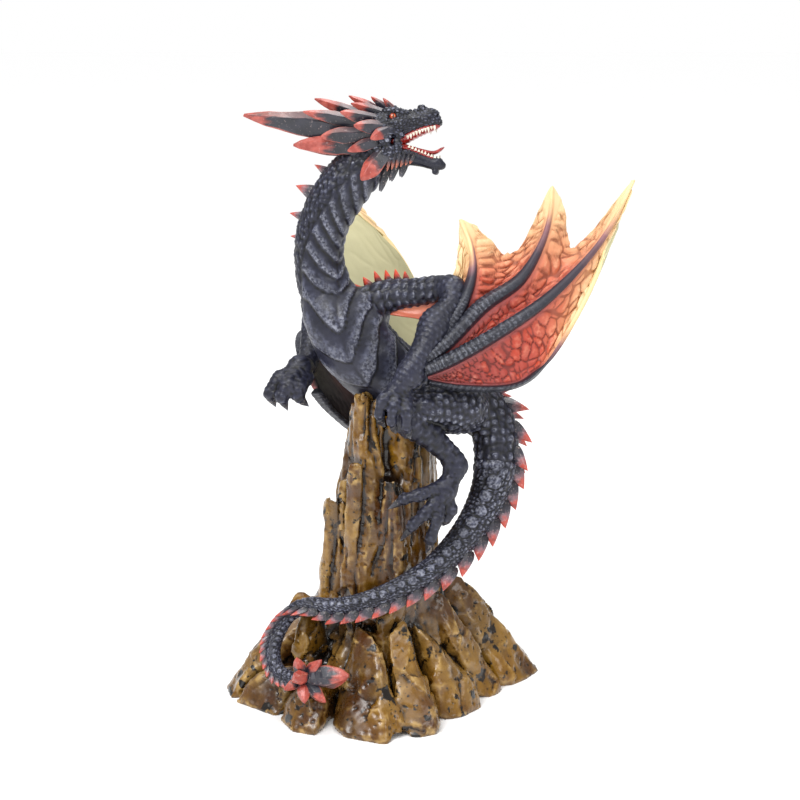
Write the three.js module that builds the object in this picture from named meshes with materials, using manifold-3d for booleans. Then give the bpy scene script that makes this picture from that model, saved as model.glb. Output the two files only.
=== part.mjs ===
// A painted resin dragon clinging to a rock pillar, in millimetres, +Z up.
// The dragon faces +X with its open jaws; its near side looks towards -Y.
// Two castings: the dragon with wings, horns and tail, and the rock it grips.
import * as THREE from 'three';
import { ConvexGeometry } from 'three/addons/geometries/ConvexGeometry.js';
import { mergeVertices } from 'three/addons/utils/BufferGeometryUtils.js';
import Module from 'manifold-3d';

const wasm = await Module();
wasm.setup();

// Driving dimensions.
const FIT_GAP = 0.6;
const BODY_SIDES = 10;
const LIMB_SIDES = 8;
const DIGIT_SIDES = 5;
const WEB_THICKNESS = 2.6;
const WEB_SHARES = [0.2, 0.5, 0.8];
const FLANK_REACH = 0.965;
const WRIST_REACH = 0.05;
const SCALLOP_POWER = 1.3;
const WING_ROWS = 9;
const BASE_TOE = 9;
const BASE_INSET = 0.93;

// The body from the nape to the end of the tail.
// Each station: centre, [half width, half depth], direction of the back.
const SPINE = [
  [[-1, -4, 275], [9.5, 10], [-0.8, 0, 0.6]],
  [[-17, -2, 258], [11, 12.5], [-0.85, 0.1, 0.5]],
  [[-28, 0, 238], [11.5, 12], [-0.92, 0.3, 0.25]],
  [[-30, 1, 221], [12, 12], [-0.8, 0.6, 0]],
  [[-26, 0, 204], [13.5, 13], [-0.6, 0.8, 0]],
  [[-19, -2, 189], [17, 17], [-0.2, 0.95, 0.2]],
  [[-8, -1, 175], [18.5, 18.5], [0.1, 0.9, 0.35]],
  [[4, 3, 164], [17.5, 17.5], [0.2, 0.8, 0.55]],
  [[18, 8, 156], [16, 16], [0.2, 0.75, 0.65]],
  [[34, 11, 151], [14, 14.5], [0.3, 0.6, 0.75]],
  [[47, 11, 146], [13.5, 13.5], [0.5, 0.5, 0.7]],
  [[56, 6, 137], [12, 12], [0.95, 0.25, 0.25]],
  [[58, 0, 121], [10.8, 10.8], [1, 0.05, 0]],
  [[54, -6, 103], [9.3, 9.3], [0.95, -0.1, -0.25]],
  [[44, -15, 87], [7.8, 7.8], [0.75, -0.35, -0.55]],
  [[28, -27, 73], [6.3, 6.3], [0.45, -0.5, -0.75]],
  [[11, -36, 65], [5.4, 5.4], [0.1, -0.55, -0.83]],
  [[-6, -39, 59], [4.6, 4.6], [0, -0.5, -0.87]],
  [[-22, -37, 55], [4.1, 4.1], [-0.1, -0.6, -0.8]],
  [[-36, -33, 54], [3.7, 3.7], [-0.35, -0.8, -0.2]],
  [[-45, -32, 49], [3.6, 3.6], [-0.6, -0.6, 0.4]],
  [[-51, -34, 40], [3.8, 3.8], [-0.9, -0.4, 0.1]],
  [[-53, -39, 32], [3.8, 3.8], [-0.9, -0.4, -0.1]],
  [[-50, -47, 25.5], [3.6, 3.6], [-0.7, -0.5, -0.5]],
  [[-43, -54, 24], [3.4, 3.4], [-0.3, -0.7, -0.6]],
  [[-35, -59, 26], [3.2, 3.2], [0, -0.7, -0.7]],
];
// Spine stations between which each row of back spikes runs.
const NECK_SPIKES = { from: 0.6, to: 3.4, count: 5, length: 11, width: 3.4, lean: 0.3 };
const HIP_SPIKES = { from: 10.1, to: 11.7, count: 4, length: 12.5, width: 3.4, lean: 0.75 };
const TAIL_SPIKES = { from: 12.1, to: 24.4, count: 24, length: 12, width: 3.2, lean: 0.75 };

// The head's own frame: +X out of the jaws, +Z through the brow.
const HEAD_PLACE = [5, -6, 284];
const HEAD_YAW = -9;
const HEAD_ROLL = -10;
// Lofts of the head: distance forward, height of the centre, half height, half width.
const SKULL = [
  [-14, 0, 7, 7],
  [-8, 2, 9, 9],
  [-2, 3, 8.5, 9.5],
  [4, 4.5, 7, 8],
  [9, 4, 6.2, 6],
  [14, 6, 5.5, 5],
  [19, 7, 4.8, 4.8],
  [23, 5.5, 2, 3],
];
const JAW = [
  [-4, -9, 7, 8],
  [4, -10.5, 5, 7],
  [10, -11, 4.5, 5.5],
  [16, -12.5, 3.6, 4.5],
  [22, -14.3, 3.2, 4],
  [25, -15, 2.4, 3],
];
// Blades of the head, near side: root, tip, root width, widest, thickness, place of the widest.
const HORN_BLADES = [
  [[-6, -3, -1], [-69, -10, 6.5], 15, 15, 7, 0.32],
  [[-8, -5, 3], [-40, -12, 8.5], 6, 6.5, 4],
  [[-6, -3, 5], [-36, -5, 15], 6, 6, 4],
  [[-8, -4, -6], [-45, -10, -7], 10, 9, 4.5],
  [[-6, -6, -1], [-31, -13, -3], 6, 8, 4],
  [[-3, -6, 5], [-22, -12, 8.5], 5, 6, 3.6],
  [[0, -5, 8], [-18, -7, 13], 4.5, 5, 3.2],
  [[-1, -2, 8], [-20, -3, 17], 4, 4.6, 3],
  [[2, -6, 2], [-15, -14, 2], 6, 7, 3.4],
  [[-2, -6, -3], [-18, -12, -10], 5, 6, 3.4],
  [[3, -7, 2], [-7, -13, -4], 5, 6, 3],
  [[-1, -6, -9], [-11, -12, -23.5], 7, 9.5, 5],
  [[1, -2, 9], [-9, -3, 16.8], 3, 3.4, 2.4],
  [[4, -3, 8], [-3, -4, 16], 2.6, 3, 2.2],
  [[14, -2, 9], [16.5, -3, 13.4], 3.4, 3.4, 3],
  [[4, -2, -12], [1, -3, -23], 3, 3.6, 2.4],
  [[8, -2, -12], [6, -2.6, -21], 3, 3.4, 2.4],
  [[0, -2, -13], [-4, -2.5, -28], 3, 3.6, 2.4],
];
const TONGUE = [
  [[6, 0, -6], [3.4, 1.6], [0, 0, 1]],
  [[16, 0, -8.4], [3, 1.2], [0, 0, 1]],
  [[22, 0, -9], [2.4, 1], [-0.4, 0, 0.9]],
  [[26.5, 0, -6.4], [1, 0.7], [-0.8, 0, 0.5]],
];

// Arms that carry the wings: shoulder, elbow and wrist.
const NEAR_ARM = [
  [[-8, 2, 192], [9, 10], [0, 0, 1]],
  [[-1, 2, 201], [8.5, 9], [0, 0, 1]],
  [[17, -4, 206], [6.5, 7], [0, 0, 1]],
  [[36, -12, 208], [5.5, 6.5], [0.3, 0, 1]],
  [[26, -23, 191], [6, 6.5], [0.8, 0, 0.6]],
  [[14, -32, 172], [4.6, 5], [0.8, 0, 0.5]],
  [[7, -33, 162], [4.5, 4.5], [0.8, 0, 0.4]],
];
const FAR_ARM = [
  [[-18, 6, 190], [9, 10], [0, 0, 1]],
  [[-24, 22, 202], [7, 8], [0, 0, 1]],
  [[-26, 40, 210], [5.5, 6.5], [0, 0.4, 1]],
  [[-33, 28, 190], [6, 6.5], [-0.5, 0.6, 0.6]],
  [[-36, 9, 170], [5, 5.5], [-0.5, 0.6, 0.4]],
  [[-42, -1, 163], [5.5, 5], [-0.5, 0.2, 0.8]],
];
const ARM_SPIKES = { from: 0.9, to: 2.1, count: 6, length: 6, width: 1.6, lean: 0.2 };

// Fingers of the wings, from the wrist to the tip, lowest finger first.
const FINGER_START = 3.4;
const FINGER_END = 1.9;
const fingerRadius = (share) => THREE.MathUtils.lerp(FINGER_START, FINGER_END, share);
const NEAR_WING = {
  fingers: [
    [[17, -31, 168], [40, -28, 163], [68, -21, 163], [82, -14, 173], [96, -8, 194], [107, -1, 216], [110, 1, 226]],
    [[17, -31, 171], [34, -29, 178], [57, -23, 190], [81, -12, 204], [103, -1, 224], [115, 7, 240], [125, 14, 259]],
    [[18, -30, 175], [32, -27, 186], [50, -20, 203], [68, -11, 214], [79, -3, 231], [83, 2, 244], [84, 6, 257]],
    [[19, -29, 179], [30, -24, 190], [40, -19, 204], [45, -13, 218], [44, -8, 230], [39, -4, 242]],
  ],
  inner: [[18, -29, 180], [27, -21, 194], [36, -12, 207]],
};
const FAR_WING = {
  fingers: [
    [[-36, 10, 158], [-24, 22, 138], [-2, 38, 118], [20, 50, 116], [31, 62, 140], [27, 73, 174], [10, 81, 211], [-14, 87, 233]],
    [[-37, 11, 162], [-35, 28, 164], [-32, 50, 180], [-30, 70, 204], [-26, 86, 230], [-24, 98, 255]],
    [[-38, 12, 166], [-38, 32, 168], [-38, 58, 176], [-38, 82, 186], [-38, 100, 202], [-36, 112, 220]],
    [[-38, 13, 169], [-40, 30, 172], [-41, 52, 172], [-41, 76, 168], [-40, 92, 168], [-38, 106, 174]],
  ],
  inner: [[-37, 13, 170], [-32, 28, 190], [-26, 39, 208]],
};
// How far each free edge of a web is cut back between two tips.
const WEB_SCALLOPS = [0, 0.32, 0.34, 0.04];

// Digits: lists of stations [x, y, z, radius], ending in a claw.
const NEAR_HAND = [
  [[8, -33, 163, 3.4], [2, -38, 160, 3], [0, -38, 153, 2.2], [2, -34, 147, 0.6]],
  [[10, -34, 161, 3.4], [7, -40, 157, 3], [6, -40, 150, 2.2], [8, -35, 144, 0.6]],
  [[13, -34, 160, 3.4], [13, -40, 155, 3], [13, -40, 147, 2.2], [15, -35, 141, 0.6]],
];
const FAR_HAND = [
  [[-41, -2, 164, 3.6], [-50, -9, 163, 3.2], [-55, -10, 156, 2.4], [-53, -8, 149, 0.6]],
  [[-40, -4, 163, 3.6], [-46, -13, 161, 3.2], [-49, -15, 154, 2.4], [-46, -13, 147, 0.6]],
  [[-38, -4, 161, 3.6], [-41, -14, 159, 3.2], [-42, -15, 152, 2.4], [-38, -12, 146, 0.6]],
];
const NEAR_LEG = [
  [[44, 2, 147], [12, 13], [0, -1, 0]],
  [[30, -14, 152], [11, 12], [0, -1, 0.2]],
  [[15, -24, 147], [8, 9], [0.3, -1, 0.5]],
  [[26, -25, 137], [6, 6.5], [0.8, -1, 0.2]],
  [[37, -25, 124], [5, 5.5], [1, -1, 0]],
  [[31, -30, 112], [4.8, 4.6], [0.4, -1, 0.3]],
];
const FAR_LEG = [
  [[40, 18, 146], [12, 13], [0, 1, 0]],
  [[26, 32, 150], [9, 10], [0, 1, 0.2]],
  [[12, 38, 148], [7, 7.5], [0.3, 1, 0.5]],
  [[22, 38, 136], [5.5, 6], [0.8, 1, 0.2]],
  [[28, 36, 122], [4.6, 5], [1, 1, 0]],
  [[20, 37, 112], [4.6, 4.2], [0.4, 1, 0.3]],
];
const NEAR_FOOT = [
  [[31, -30, 115, 3.6], [19, -36, 112, 3], [12, -36, 110, 2.6], [5, -33, 104, 0.5]],
  [[31, -31, 112, 3.6], [22, -37, 103, 3], [16, -37, 97, 2.6], [11, -34, 89, 0.5]],
  [[30, -31, 110, 3.6], [28, -36, 100, 3], [25, -36, 90, 2.6], [23, -33, 82, 0.5]],
  [[32, -30, 111, 3.4], [35, -31, 103, 2.8], [31, -31, 96, 0.5]],
];
const FAR_FOOT = [
  [[20, 37, 112, 3.4], [10, 40, 110, 2.8], [3, 40, 106, 2.2], [-2, 37, 102, 0.5]],
  [[20, 38, 110, 3.4], [14, 41, 102, 2.8], [10, 41, 94, 2.2], [8, 38, 87, 0.5]],
  [[21, 38, 109, 3.4], [22, 41, 100, 2.8], [23, 40, 90, 2.2], [24, 37, 83, 0.5]],
];

// Blades of the tail's club, spread from one centre: tip, root width, widest, thickness.
const CLUB_CENTRE = [-37, -58, 26];
const CLUB_BLADES = [
  [[-15, -66, 31], 5, 10.5, 5],
  [[-41, -62, 36.5], 4.5, 6, 3.5],
  [[-24, -62, 38], 4.5, 6, 3.5],
  [[-37, -69, 17.5], 4.5, 6.4, 3.5],
  [[-27, -70, 18], 4.5, 6.4, 3.5],
  [[-48, -63, 22.5], 3.5, 4.6, 3],
  [[-36, -70, 29], 4, 7, 4],
];

// Columns of the rock pillar: foot and top circles, height of the top and turn of the six sides.
const PILLAR_COLUMNS = [
  { foot: [-5, -22], footR: 20, top: [-5, -10], topR: 8, height: 157, turn: 0.3 },
  { foot: [-20, -8], footR: 19, top: [-9, -6], topR: 7, height: 152, turn: 0.9 },
  { foot: [-21, 8], footR: 17, top: [-6, 8], topR: 9, height: 146, turn: 0.1 },
  { foot: [12, -18], footR: 18, top: [10, -7], topR: 10, height: 146, turn: 0.6 },
  { foot: [17, -2], footR: 18, top: [17, 4], topR: 12, height: 141, turn: 0.2 },
  { foot: [6, 18], footR: 23, top: [8, 15], topR: 14, height: 145, turn: 0.8 },
  { foot: [-23, -8], footR: 15, top: [-20, -9], topR: 8, height: 103, turn: 0.5 },
  { foot: [-12, -26], footR: 13, top: [-10, -20], topR: 5, height: 124, turn: 0.2 },
  { foot: [5, -27], footR: 14, top: [6, -20], topR: 6, height: 116, turn: 0.7 },
  { foot: [19, -14], footR: 15, top: [17, -10], topR: 8, height: 106, turn: 0.4 },
  { foot: [-14, 20], footR: 15, top: [-12, 16], topR: 6, height: 112, turn: 0.3 },
  { foot: [24, 15], footR: 15, top: [19, 14], topR: 7, height: 98, turn: 0.7 },
];
// The low cone that the boulders stand against.
const CORE = { sides: 12, footR: 56, topR: 30, height: 40, centre: [0, -2] };
// Boulders around the foot: crest points, then toe points on the ground.
const BOULDERS = [
  { crest: [[-42, 4, 48], [-30, -8, 44]], toes: [[-80, -8], [-76, -24], [-62, 16]] },
  { crest: [[-40, -34, 24], [-28, -30, 34]], toes: [[-75, -26], [-52, -45], [-60, -38]] },
  { crest: [[-38, -54, 19], [-30, -44, 24]], toes: [[-50, -48], [-43, -63], [-31, -68], [-26, -56]] },
  { crest: [[-3, -50, 44], [-12, -38, 46]], toes: [[-25, -54], [-17, -70], [4, -79], [16, -74]] },
  { crest: [[4, -46, 43], [12, -38, 48]], toes: [[6, -77], [28, -66], [31, -50]] },
  { crest: [[26, -38, 37], [16, -32, 46]], toes: [[29, -52], [41, -46], [52, -33], [53, -22]] },
  { crest: [[31, -14, 55], [22, -16, 62]], toes: [[50, -30], [60, -17], [66, -8]] },
  { crest: [[42, 6, 56], [30, 4, 64]], toes: [[65, -10], [76, 2], [83, 13], [82, 22]] },
  { crest: [[40, 24, 44], [28, 20, 56]], toes: [[80, 24], [70, 42], [56, 52]] },
  { crest: [[20, 40, 46], [12, 28, 58]], toes: [[53, 52], [38, 66], [18, 71]] },
  { crest: [[-8, 42, 50], [-8, 28, 60]], toes: [[18, 72], [-8, 77], [-28, 68]] },
  { crest: [[-32, 28, 42], [-22, 20, 54]], toes: [[-30, 67], [-54, 52], [-66, 32], [-64, 14]] },
  { crest: [[-40, -26, 51], [-38, -20, 46]], toes: [[-52, -34], [-32, -40], [-38, -14]] },
  { crest: [[4, -33, 61], [0, -26, 64]], toes: [[-12, -44], [14, -46], [10, -24]] },
];

const vector = (list) => new THREE.Vector3(...list);

// A closed mesh from rings of points, each end closed on a pole.
function closedRings(rings, startPole, endPole) {
  const sides = rings[0].length;
  const points = [startPole, ...rings.flat(), endPole];
  const last = points.length - 1;
  const at = (ring, side) => 1 + ring * sides + (side % sides);
  const index = [];
  for (let side = 0; side < sides; side += 1) {
    index.push(0, at(0, side + 1), at(0, side));
    index.push(last, at(rings.length - 1, side), at(rings.length - 1, side + 1));
    for (let ring = 0; ring < rings.length - 1; ring += 1) {
      const [a, b] = [at(ring, side), at(ring, side + 1)];
      const [c, d] = [at(ring + 1, side + 1), at(ring + 1, side)];
      index.push(a, b, c, a, c, d);
    }
  }
  const geometry = new THREE.BufferGeometry().setFromPoints(points);
  geometry.setIndex(index);
  return geometry;
}

// A closed three.js mesh as a solid that can be joined and cut.
function solid(geometry) {
  const position = geometry.getAttribute('position');
  const mesh = new wasm.Mesh({
    numProp: 3,
    vertProperties: new Float32Array(position.array),
    triVerts: new Uint32Array(geometry.getIndex().array),
  });
  return new wasm.Manifold(mesh);
}

// The convex solid around a few points.
function hull(points) {
  const geometry = new ConvexGeometry(points);
  geometry.deleteAttribute('normal');
  return solid(mergeVertices(geometry, 1e-4));
}

const join = (solids) => solids.reduce((whole, piece) => whole.add(piece));

// A smooth path through stations, with its half sizes and back direction.
class Path {
  constructor(stations) {
    this.last = stations.length - 1;
    this.centre = new THREE.CatmullRomCurve3(stations.map(([at]) => vector(at)));
    this.size = new THREE.CatmullRomCurve3(stations.map(([, size]) => vector([...size, 0])));
    this.backs = new THREE.CatmullRomCurve3(stations.map(([, , back]) => vector(back)));
  }

  frame(station) {
    const t = THREE.MathUtils.clamp(station / this.last, 0, 1);
    const centre = this.centre.getPoint(t);
    const along = this.centre.getTangent(t);
    const side = along.clone().cross(this.backs.getPoint(t)).normalize();
    const back = side.clone().cross(along);
    const size = this.size.getPoint(t);
    return { centre, along, side, back, width: size.x, depth: size.y };
  }

  ring(station, sides) {
    const { centre, side, back, width, depth } = this.frame(station);
    const points = [];
    for (let k = 0; k < sides; k += 1) {
      const angle = (2 * Math.PI * k) / sides;
      const point = centre.clone().addScaledVector(back, depth * Math.cos(angle));
      points.push(point.addScaledVector(side, width * Math.sin(angle)));
    }
    return points;
  }
}

// A tube with round ends along a path.
function limb(path, sides, perStation) {
  const rings = [];
  const count = Math.round(path.last * perStation);
  for (let k = 0; k <= count; k += 1) {
    rings.push(path.ring((k * path.last) / count, sides));
  }
  const pole = (station, sign) => {
    const { centre, along, depth } = path.frame(station);
    return centre.addScaledVector(along, sign * depth * 0.5);
  };
  return solid(closedRings(rings, pole(0, -1), pole(path.last, 1)));
}

// A finger or toe: stations of a centre and a radius, tapering to a claw.
function digit(stations) {
  const path = new Path(stations.map(([x, y, z, r]) => [[x, y, z], [r, r], [0.2, 0.1, 1]]));
  return limb(path, DIGIT_SIDES, 1);
}

// A faceted blade: a flat diamond that widens from its root and runs out to a point.
function blade([root, tip, rootWidth, width, thickness, widest = 0.6], place = new THREE.Matrix4()) {
  const from = vector(root).applyMatrix4(place);
  const to = vector(tip).applyMatrix4(place);
  const along = to.clone().sub(from);
  const flat = new THREE.Vector3(0, 1, 0).cross(along).normalize();
  const face = along.clone().cross(flat).normalize();
  const ring = (share, half, thick) => {
    const centre = from.clone().addScaledVector(along, share);
    const corner = (a, b) => centre.clone().addScaledVector(flat, a).addScaledVector(face, b);
    return [corner(half, 0), corner(0, thick), corner(-half, 0), corner(0, -thick)];
  };
  const rings = [ring(0.05, rootWidth / 2, thickness / 2), ring(widest, width / 2, thickness / 2)];
  return solid(closedRings(rings, from, to));
}

// A row of spikes on the back of a path, leaning towards its end.
function spikes(path, row, spread = [0]) {
  const made = [];
  for (let k = 0; k < row.count; k += 1) {
    const share = k / (row.count - 1);
    const { centre, along, side, back, depth } = path.frame(row.from + share * (row.to - row.from));
    const scale = row.taper ? row.taper(share) : 1;
    for (const turn of spread) {
      const out = back.clone().applyAxisAngle(along, turn);
      const across = out.clone().cross(along).normalize();
      const foot = centre.clone().addScaledVector(out, depth * 0.7);
      const tip = centre.clone().addScaledVector(out, depth + row.length * scale * Math.cos(row.lean));
      tip.addScaledVector(along, row.length * scale * Math.sin(row.lean));
      const half = row.width * scale;
      const ring = [
        foot.clone().addScaledVector(along, half * 1.3),
        foot.clone().addScaledVector(across, half),
        foot.clone().addScaledVector(along, -half * 1.3),
        foot.clone().addScaledVector(across, -half),
      ];
      made.push(solid(closedRings([ring], foot, tip)));
    }
  }
  return made;
}

// A closed sheet from two facing grids of points, stitched around their rim.
function closedSheet(front, rear) {
  const [rows, columns] = [front.length, front[0].length];
  const at = (face, row, column) => (face * rows + row) * columns + column;
  const index = [];
  const quad = (a, b, c, d) => index.push(a, b, c, a, c, d);
  for (let row = 0; row < rows - 1; row += 1) {
    for (let column = 0; column < columns - 1; column += 1) {
      quad(at(0, row, column), at(0, row, column + 1), at(0, row + 1, column + 1), at(0, row + 1, column));
      quad(at(1, row, column), at(1, row + 1, column), at(1, row + 1, column + 1), at(1, row, column + 1));
    }
    quad(at(0, row, 0), at(0, row + 1, 0), at(1, row + 1, 0), at(1, row, 0));
    const edge = columns - 1;
    quad(at(0, row, edge), at(1, row, edge), at(1, row + 1, edge), at(0, row + 1, edge));
  }
  for (let column = 0; column < columns - 1; column += 1) {
    quad(at(0, 0, column), at(1, 0, column), at(1, 0, column + 1), at(0, 0, column + 1));
    const end = rows - 1;
    quad(at(0, end, column), at(0, end, column + 1), at(1, end, column + 1), at(1, end, column));
  }
  const geometry = new THREE.BufferGeometry().setFromPoints([...front.flat(), ...rear.flat()]);
  geometry.setIndex(index);
  return geometry;
}

// The columns of a wing: for each support its ridge and both flanks, and two across each web.
function wingColumns(supports) {
  const columns = [];
  for (let k = 0; k < supports; k += 1) {
    columns.push({ support: k, flank: -1 }, { support: k, flank: 0 });
    if (k < supports - 1) {
      columns.push({ support: k, flank: 1 });
      columns.push(...WEB_SHARES.map((share) => ({ support: k, share })));
    }
  }
  return columns;
}

// A whole wing as one sheet: thick along its fingers, thin and billowed in the webs between.
function wing({ fingers, inner }, billow) {
  const curves = [...fingers, inner].map((points) => new THREE.CatmullRomCurve3(points.map(vector)));
  const columns = wingColumns(curves.length);
  const middle = ({ support, flank, share }, v) => {
    const scallop = share ? 1 - WEB_SCALLOPS[support] * Math.sin(Math.PI * share) ** SCALLOP_POWER : 1;
    const reach = WRIST_REACH + (1 - WRIST_REACH) * v * (flank ? FLANK_REACH : scallop);
    const own = curves[support].getPoint(reach);
    if (share) {
      const swell = Math.sin(Math.PI * share) * Math.sin(Math.PI * Math.min(reach, 0.9));
      return own.lerp(curves[support + 1].getPoint(reach), share).addScaledVector(vector(billow), swell);
    }
    if (flank === 0) {
      return own;
    }
    const beside = THREE.MathUtils.clamp(support + flank, 0, curves.length - 1);
    const other = curves[beside === support ? support + 1 : beside].getPoint(reach);
    const away = other.sub(own).multiplyScalar(beside === support ? -1 : 1);
    const reachOut = Math.min(fingerRadius(v), away.length() * 0.25);
    return own.addScaledVector(away.normalize(), reachOut);
  };
  const grid = [];
  for (let row = 0; row <= WING_ROWS; row += 1) {
    grid.push(columns.map((column) => middle(column, row / WING_ROWS)));
  }
  const shifted = (sign) => grid.map((line, row) => line.map((point, k) => {
    const across = line[Math.min(k + 1, line.length - 1)].clone().sub(line[Math.max(k - 1, 0)]);
    const along = grid[Math.min(row + 1, WING_ROWS)][k].clone().sub(grid[Math.max(row - 1, 0)][k]);
    const normal = across.cross(along).normalize();
    const half = columns[k].flank === 0 ? fingerRadius(row / WING_ROWS) : WEB_THICKNESS / 2;
    return point.clone().addScaledVector(normal, sign * half);
  }));
  return solid(closedSheet(shifted(1), shifted(-1)));
}

// The thin web between upper arm, elbow and wrist.
function armWeb(shoulder, elbow, wrist, depth) {
  const corners = [shoulder, elbow, wrist].map(vector);
  const centre = corners[0].clone().add(corners[1]).add(corners[2]).divideScalar(3);
  const out = corners[1].clone().sub(corners[0]).cross(corners[2].clone().sub(corners[0])).normalize();
  const inset = corners[0].clone().lerp(corners[2], 0.5).lerp(centre, 0.55);
  const outline = [corners[0], corners[1], corners[2], inset];
  const points = [];
  for (const sign of [-1, 1]) {
    for (const corner of outline) {
      points.push(corner.clone().addScaledVector(out, (sign * depth) / 2));
    }
  }
  return join([hull([0, 1, 3, 4, 5, 7].map((k) => points[k])), hull([1, 2, 3, 5, 6, 7].map((k) => points[k]))]);
}

// A loft of the head, turned into its place on the neck.
function headLoft(rows, place) {
  const stations = rows.map(([x, z, deep, wide]) => [[x, 0, z], [wide, deep], [0, 0, 1]]);
  const path = new Path(stations);
  const rings = rows.map((row, k) => path.ring(k, LIMB_SIDES).map((point) => point.applyMatrix4(place)));
  const pole = (row, reach) => vector([row[0] + reach, 0, row[1]]).applyMatrix4(place);
  return solid(closedRings(rings, pole(rows[0], -4), pole(rows[rows.length - 1], 1.5)));
}

function head() {
  const turn = new THREE.Euler(
    THREE.MathUtils.degToRad(HEAD_ROLL), 0, THREE.MathUtils.degToRad(HEAD_YAW), 'ZYX',
  );
  const place = new THREE.Matrix4().makeRotationFromEuler(turn).setPosition(...HEAD_PLACE);
  const mirrored = ([root, tip, ...sizes]) => [[root[0], -root[1], root[2]], [tip[0], -tip[1], tip[2]], ...sizes];
  const blades = HORN_BLADES.flatMap((row) => [blade(row, place), blade(mirrored(row), place)]);
  const tongue = TONGUE.map(([at, size, back]) => [vector(at).applyMatrix4(place).toArray(), size, back]);
  return [headLoft(SKULL, place), headLoft(JAW, place), limb(new Path(tongue), DIGIT_SIDES, 2), ...blades];
}

function torso() {
  const spine = new Path(SPINE);
  const shrink = (from, to) => (share) => THREE.MathUtils.lerp(from, to, share);
  return [
    limb(spine, BODY_SIDES, 2),
    ...spikes(spine, { ...NECK_SPIKES, taper: shrink(0.8, 0.55) }),
    ...spikes(spine, { ...HIP_SPIKES, taper: shrink(0.9, 0.8) }, [-0.45, 0.45]),
    ...spikes(spine, { ...TAIL_SPIKES, taper: shrink(1, 0.36) }),
    ...CLUB_BLADES.map((row) => blade([CLUB_CENTRE, ...row])),
  ];
}

function limbs() {
  const nearArm = new Path(NEAR_ARM);
  const farArm = new Path(FAR_ARM);
  const digits = [...NEAR_HAND, ...FAR_HAND, ...NEAR_FOOT, ...FAR_FOOT].map(digit);
  return [
    limb(nearArm, LIMB_SIDES, 2),
    limb(farArm, LIMB_SIDES, 2),
    limb(new Path(NEAR_LEG), LIMB_SIDES, 2),
    limb(new Path(FAR_LEG), LIMB_SIDES, 2),
    ...spikes(nearArm, ARM_SPIKES),
    ...digits,
  ];
}

// A pillar column: a six-sided taper with a slanting top.
function column({ foot, footR, top, topR, height, turn }) {
  const points = [];
  for (let k = 0; k < 6; k += 1) {
    const angle = turn + (Math.PI * k) / 3;
    const [cos, sin] = [Math.cos(angle), Math.sin(angle)];
    points.push(new THREE.Vector3(foot[0] + footR * cos, foot[1] + footR * sin, 0));
    const slope = -4 * sin - 2 * cos;
    points.push(new THREE.Vector3(top[0] + topR * cos, top[1] + topR * sin, height + slope - 3));
  }
  return points;
}

// The cone under the boulders, flat on the ground.
function core() {
  const points = [];
  for (let k = 0; k < CORE.sides; k += 1) {
    const angle = (2 * Math.PI * k) / CORE.sides;
    const [cos, sin] = [Math.cos(angle), Math.sin(angle)];
    const [x, y] = CORE.centre;
    points.push(new THREE.Vector3(x + CORE.footR * cos, y + CORE.footR * sin, 0));
    points.push(new THREE.Vector3(x + CORE.topR * cos, y + CORE.topR * sin, CORE.height));
  }
  return points;
}

// A boulder: crest points fall to toes that stand a little above the ground.
function boulder({ crest, toes }) {
  const points = crest.map(vector);
  for (const [x, y] of toes) {
    points.push(new THREE.Vector3(x, y, 0));
    points.push(new THREE.Vector3(x * BASE_INSET, y * BASE_INSET, BASE_TOE));
  }
  const middle = crest[crest.length - 1];
  points.push(new THREE.Vector3(middle[0] * 0.3, middle[1] * 0.3, 0));
  points.push(new THREE.Vector3(middle[0] * 0.5, middle[1] * 0.5, middle[2] * 0.8));
  return points;
}

// Every convex lump of the rock as a list of points.
const ROCK_LUMPS = [core(), ...PILLAR_COLUMNS.map(column), ...BOULDERS.map(boulder)];

// The same lump grown on every side, for the clearance under the dragon.
function grown(points) {
  const shifts = [];
  for (let axis = 0; axis < 3; axis += 1) {
    for (const sign of [-1, 1]) {
      shifts.push(new THREE.Vector3().setComponent(axis, sign * FIT_GAP));
    }
  }
  return points.flatMap((point) => shifts.map((shift) => point.clone().add(shift)));
}

function nodeMesh(name, whole, material) {
  const { vertProperties, triVerts } = whole.getMesh();
  const geometry = new THREE.BufferGeometry();
  geometry.setAttribute('position', new THREE.BufferAttribute(vertProperties, 3));
  geometry.setIndex(new THREE.BufferAttribute(triVerts, 1));
  geometry.computeVertexNormals();
  const mesh = new THREE.Mesh(geometry, material);
  mesh.name = name;
  return mesh;
}

const darkScales = new THREE.MeshStandardMaterial({ color: 0x353641, roughness: 0.45, metalness: 0 });
const ochreRock = new THREE.MeshStandardMaterial({ color: 0x7a5a24, roughness: 0.35, metalness: 0 });

const rock = join(ROCK_LUMPS.map(hull));
const rockClearance = join(ROCK_LUMPS.map(grown).map(hull));
const flesh = join([
  ...torso(),
  ...head(),
  ...limbs(),
  wing(NEAR_WING, [2, 5, -3]),
  wing(FAR_WING, [5, 0, -2]),
  armWeb([0, 0, 197], [35, -11, 207], [15, -30, 175], 2.8),
  armWeb([-22, 10, 192], [-27, 38, 206], [-37, 8, 170], 2.4),
]);

const statue = new THREE.Group();
statue.add(nodeMesh('dragon', flesh.subtract(rockClearance), darkScales));
statue.add(nodeMesh('rock_base', rock, ochreRock));

export default statue;
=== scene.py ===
"""A painted cold-cast resin dragon gripping its rock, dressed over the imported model.

Stations and sizes are in millimetres, the unit that the figure was sculpted in, and every mesh is made in
metres. The dragon faces +X with open jaws, and its near side looks towards -Y.
"""

import logging
import math
from dataclasses import dataclass, field
from enum import Enum
from typing import Callable, ClassVar, Iterable, Sequence

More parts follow.
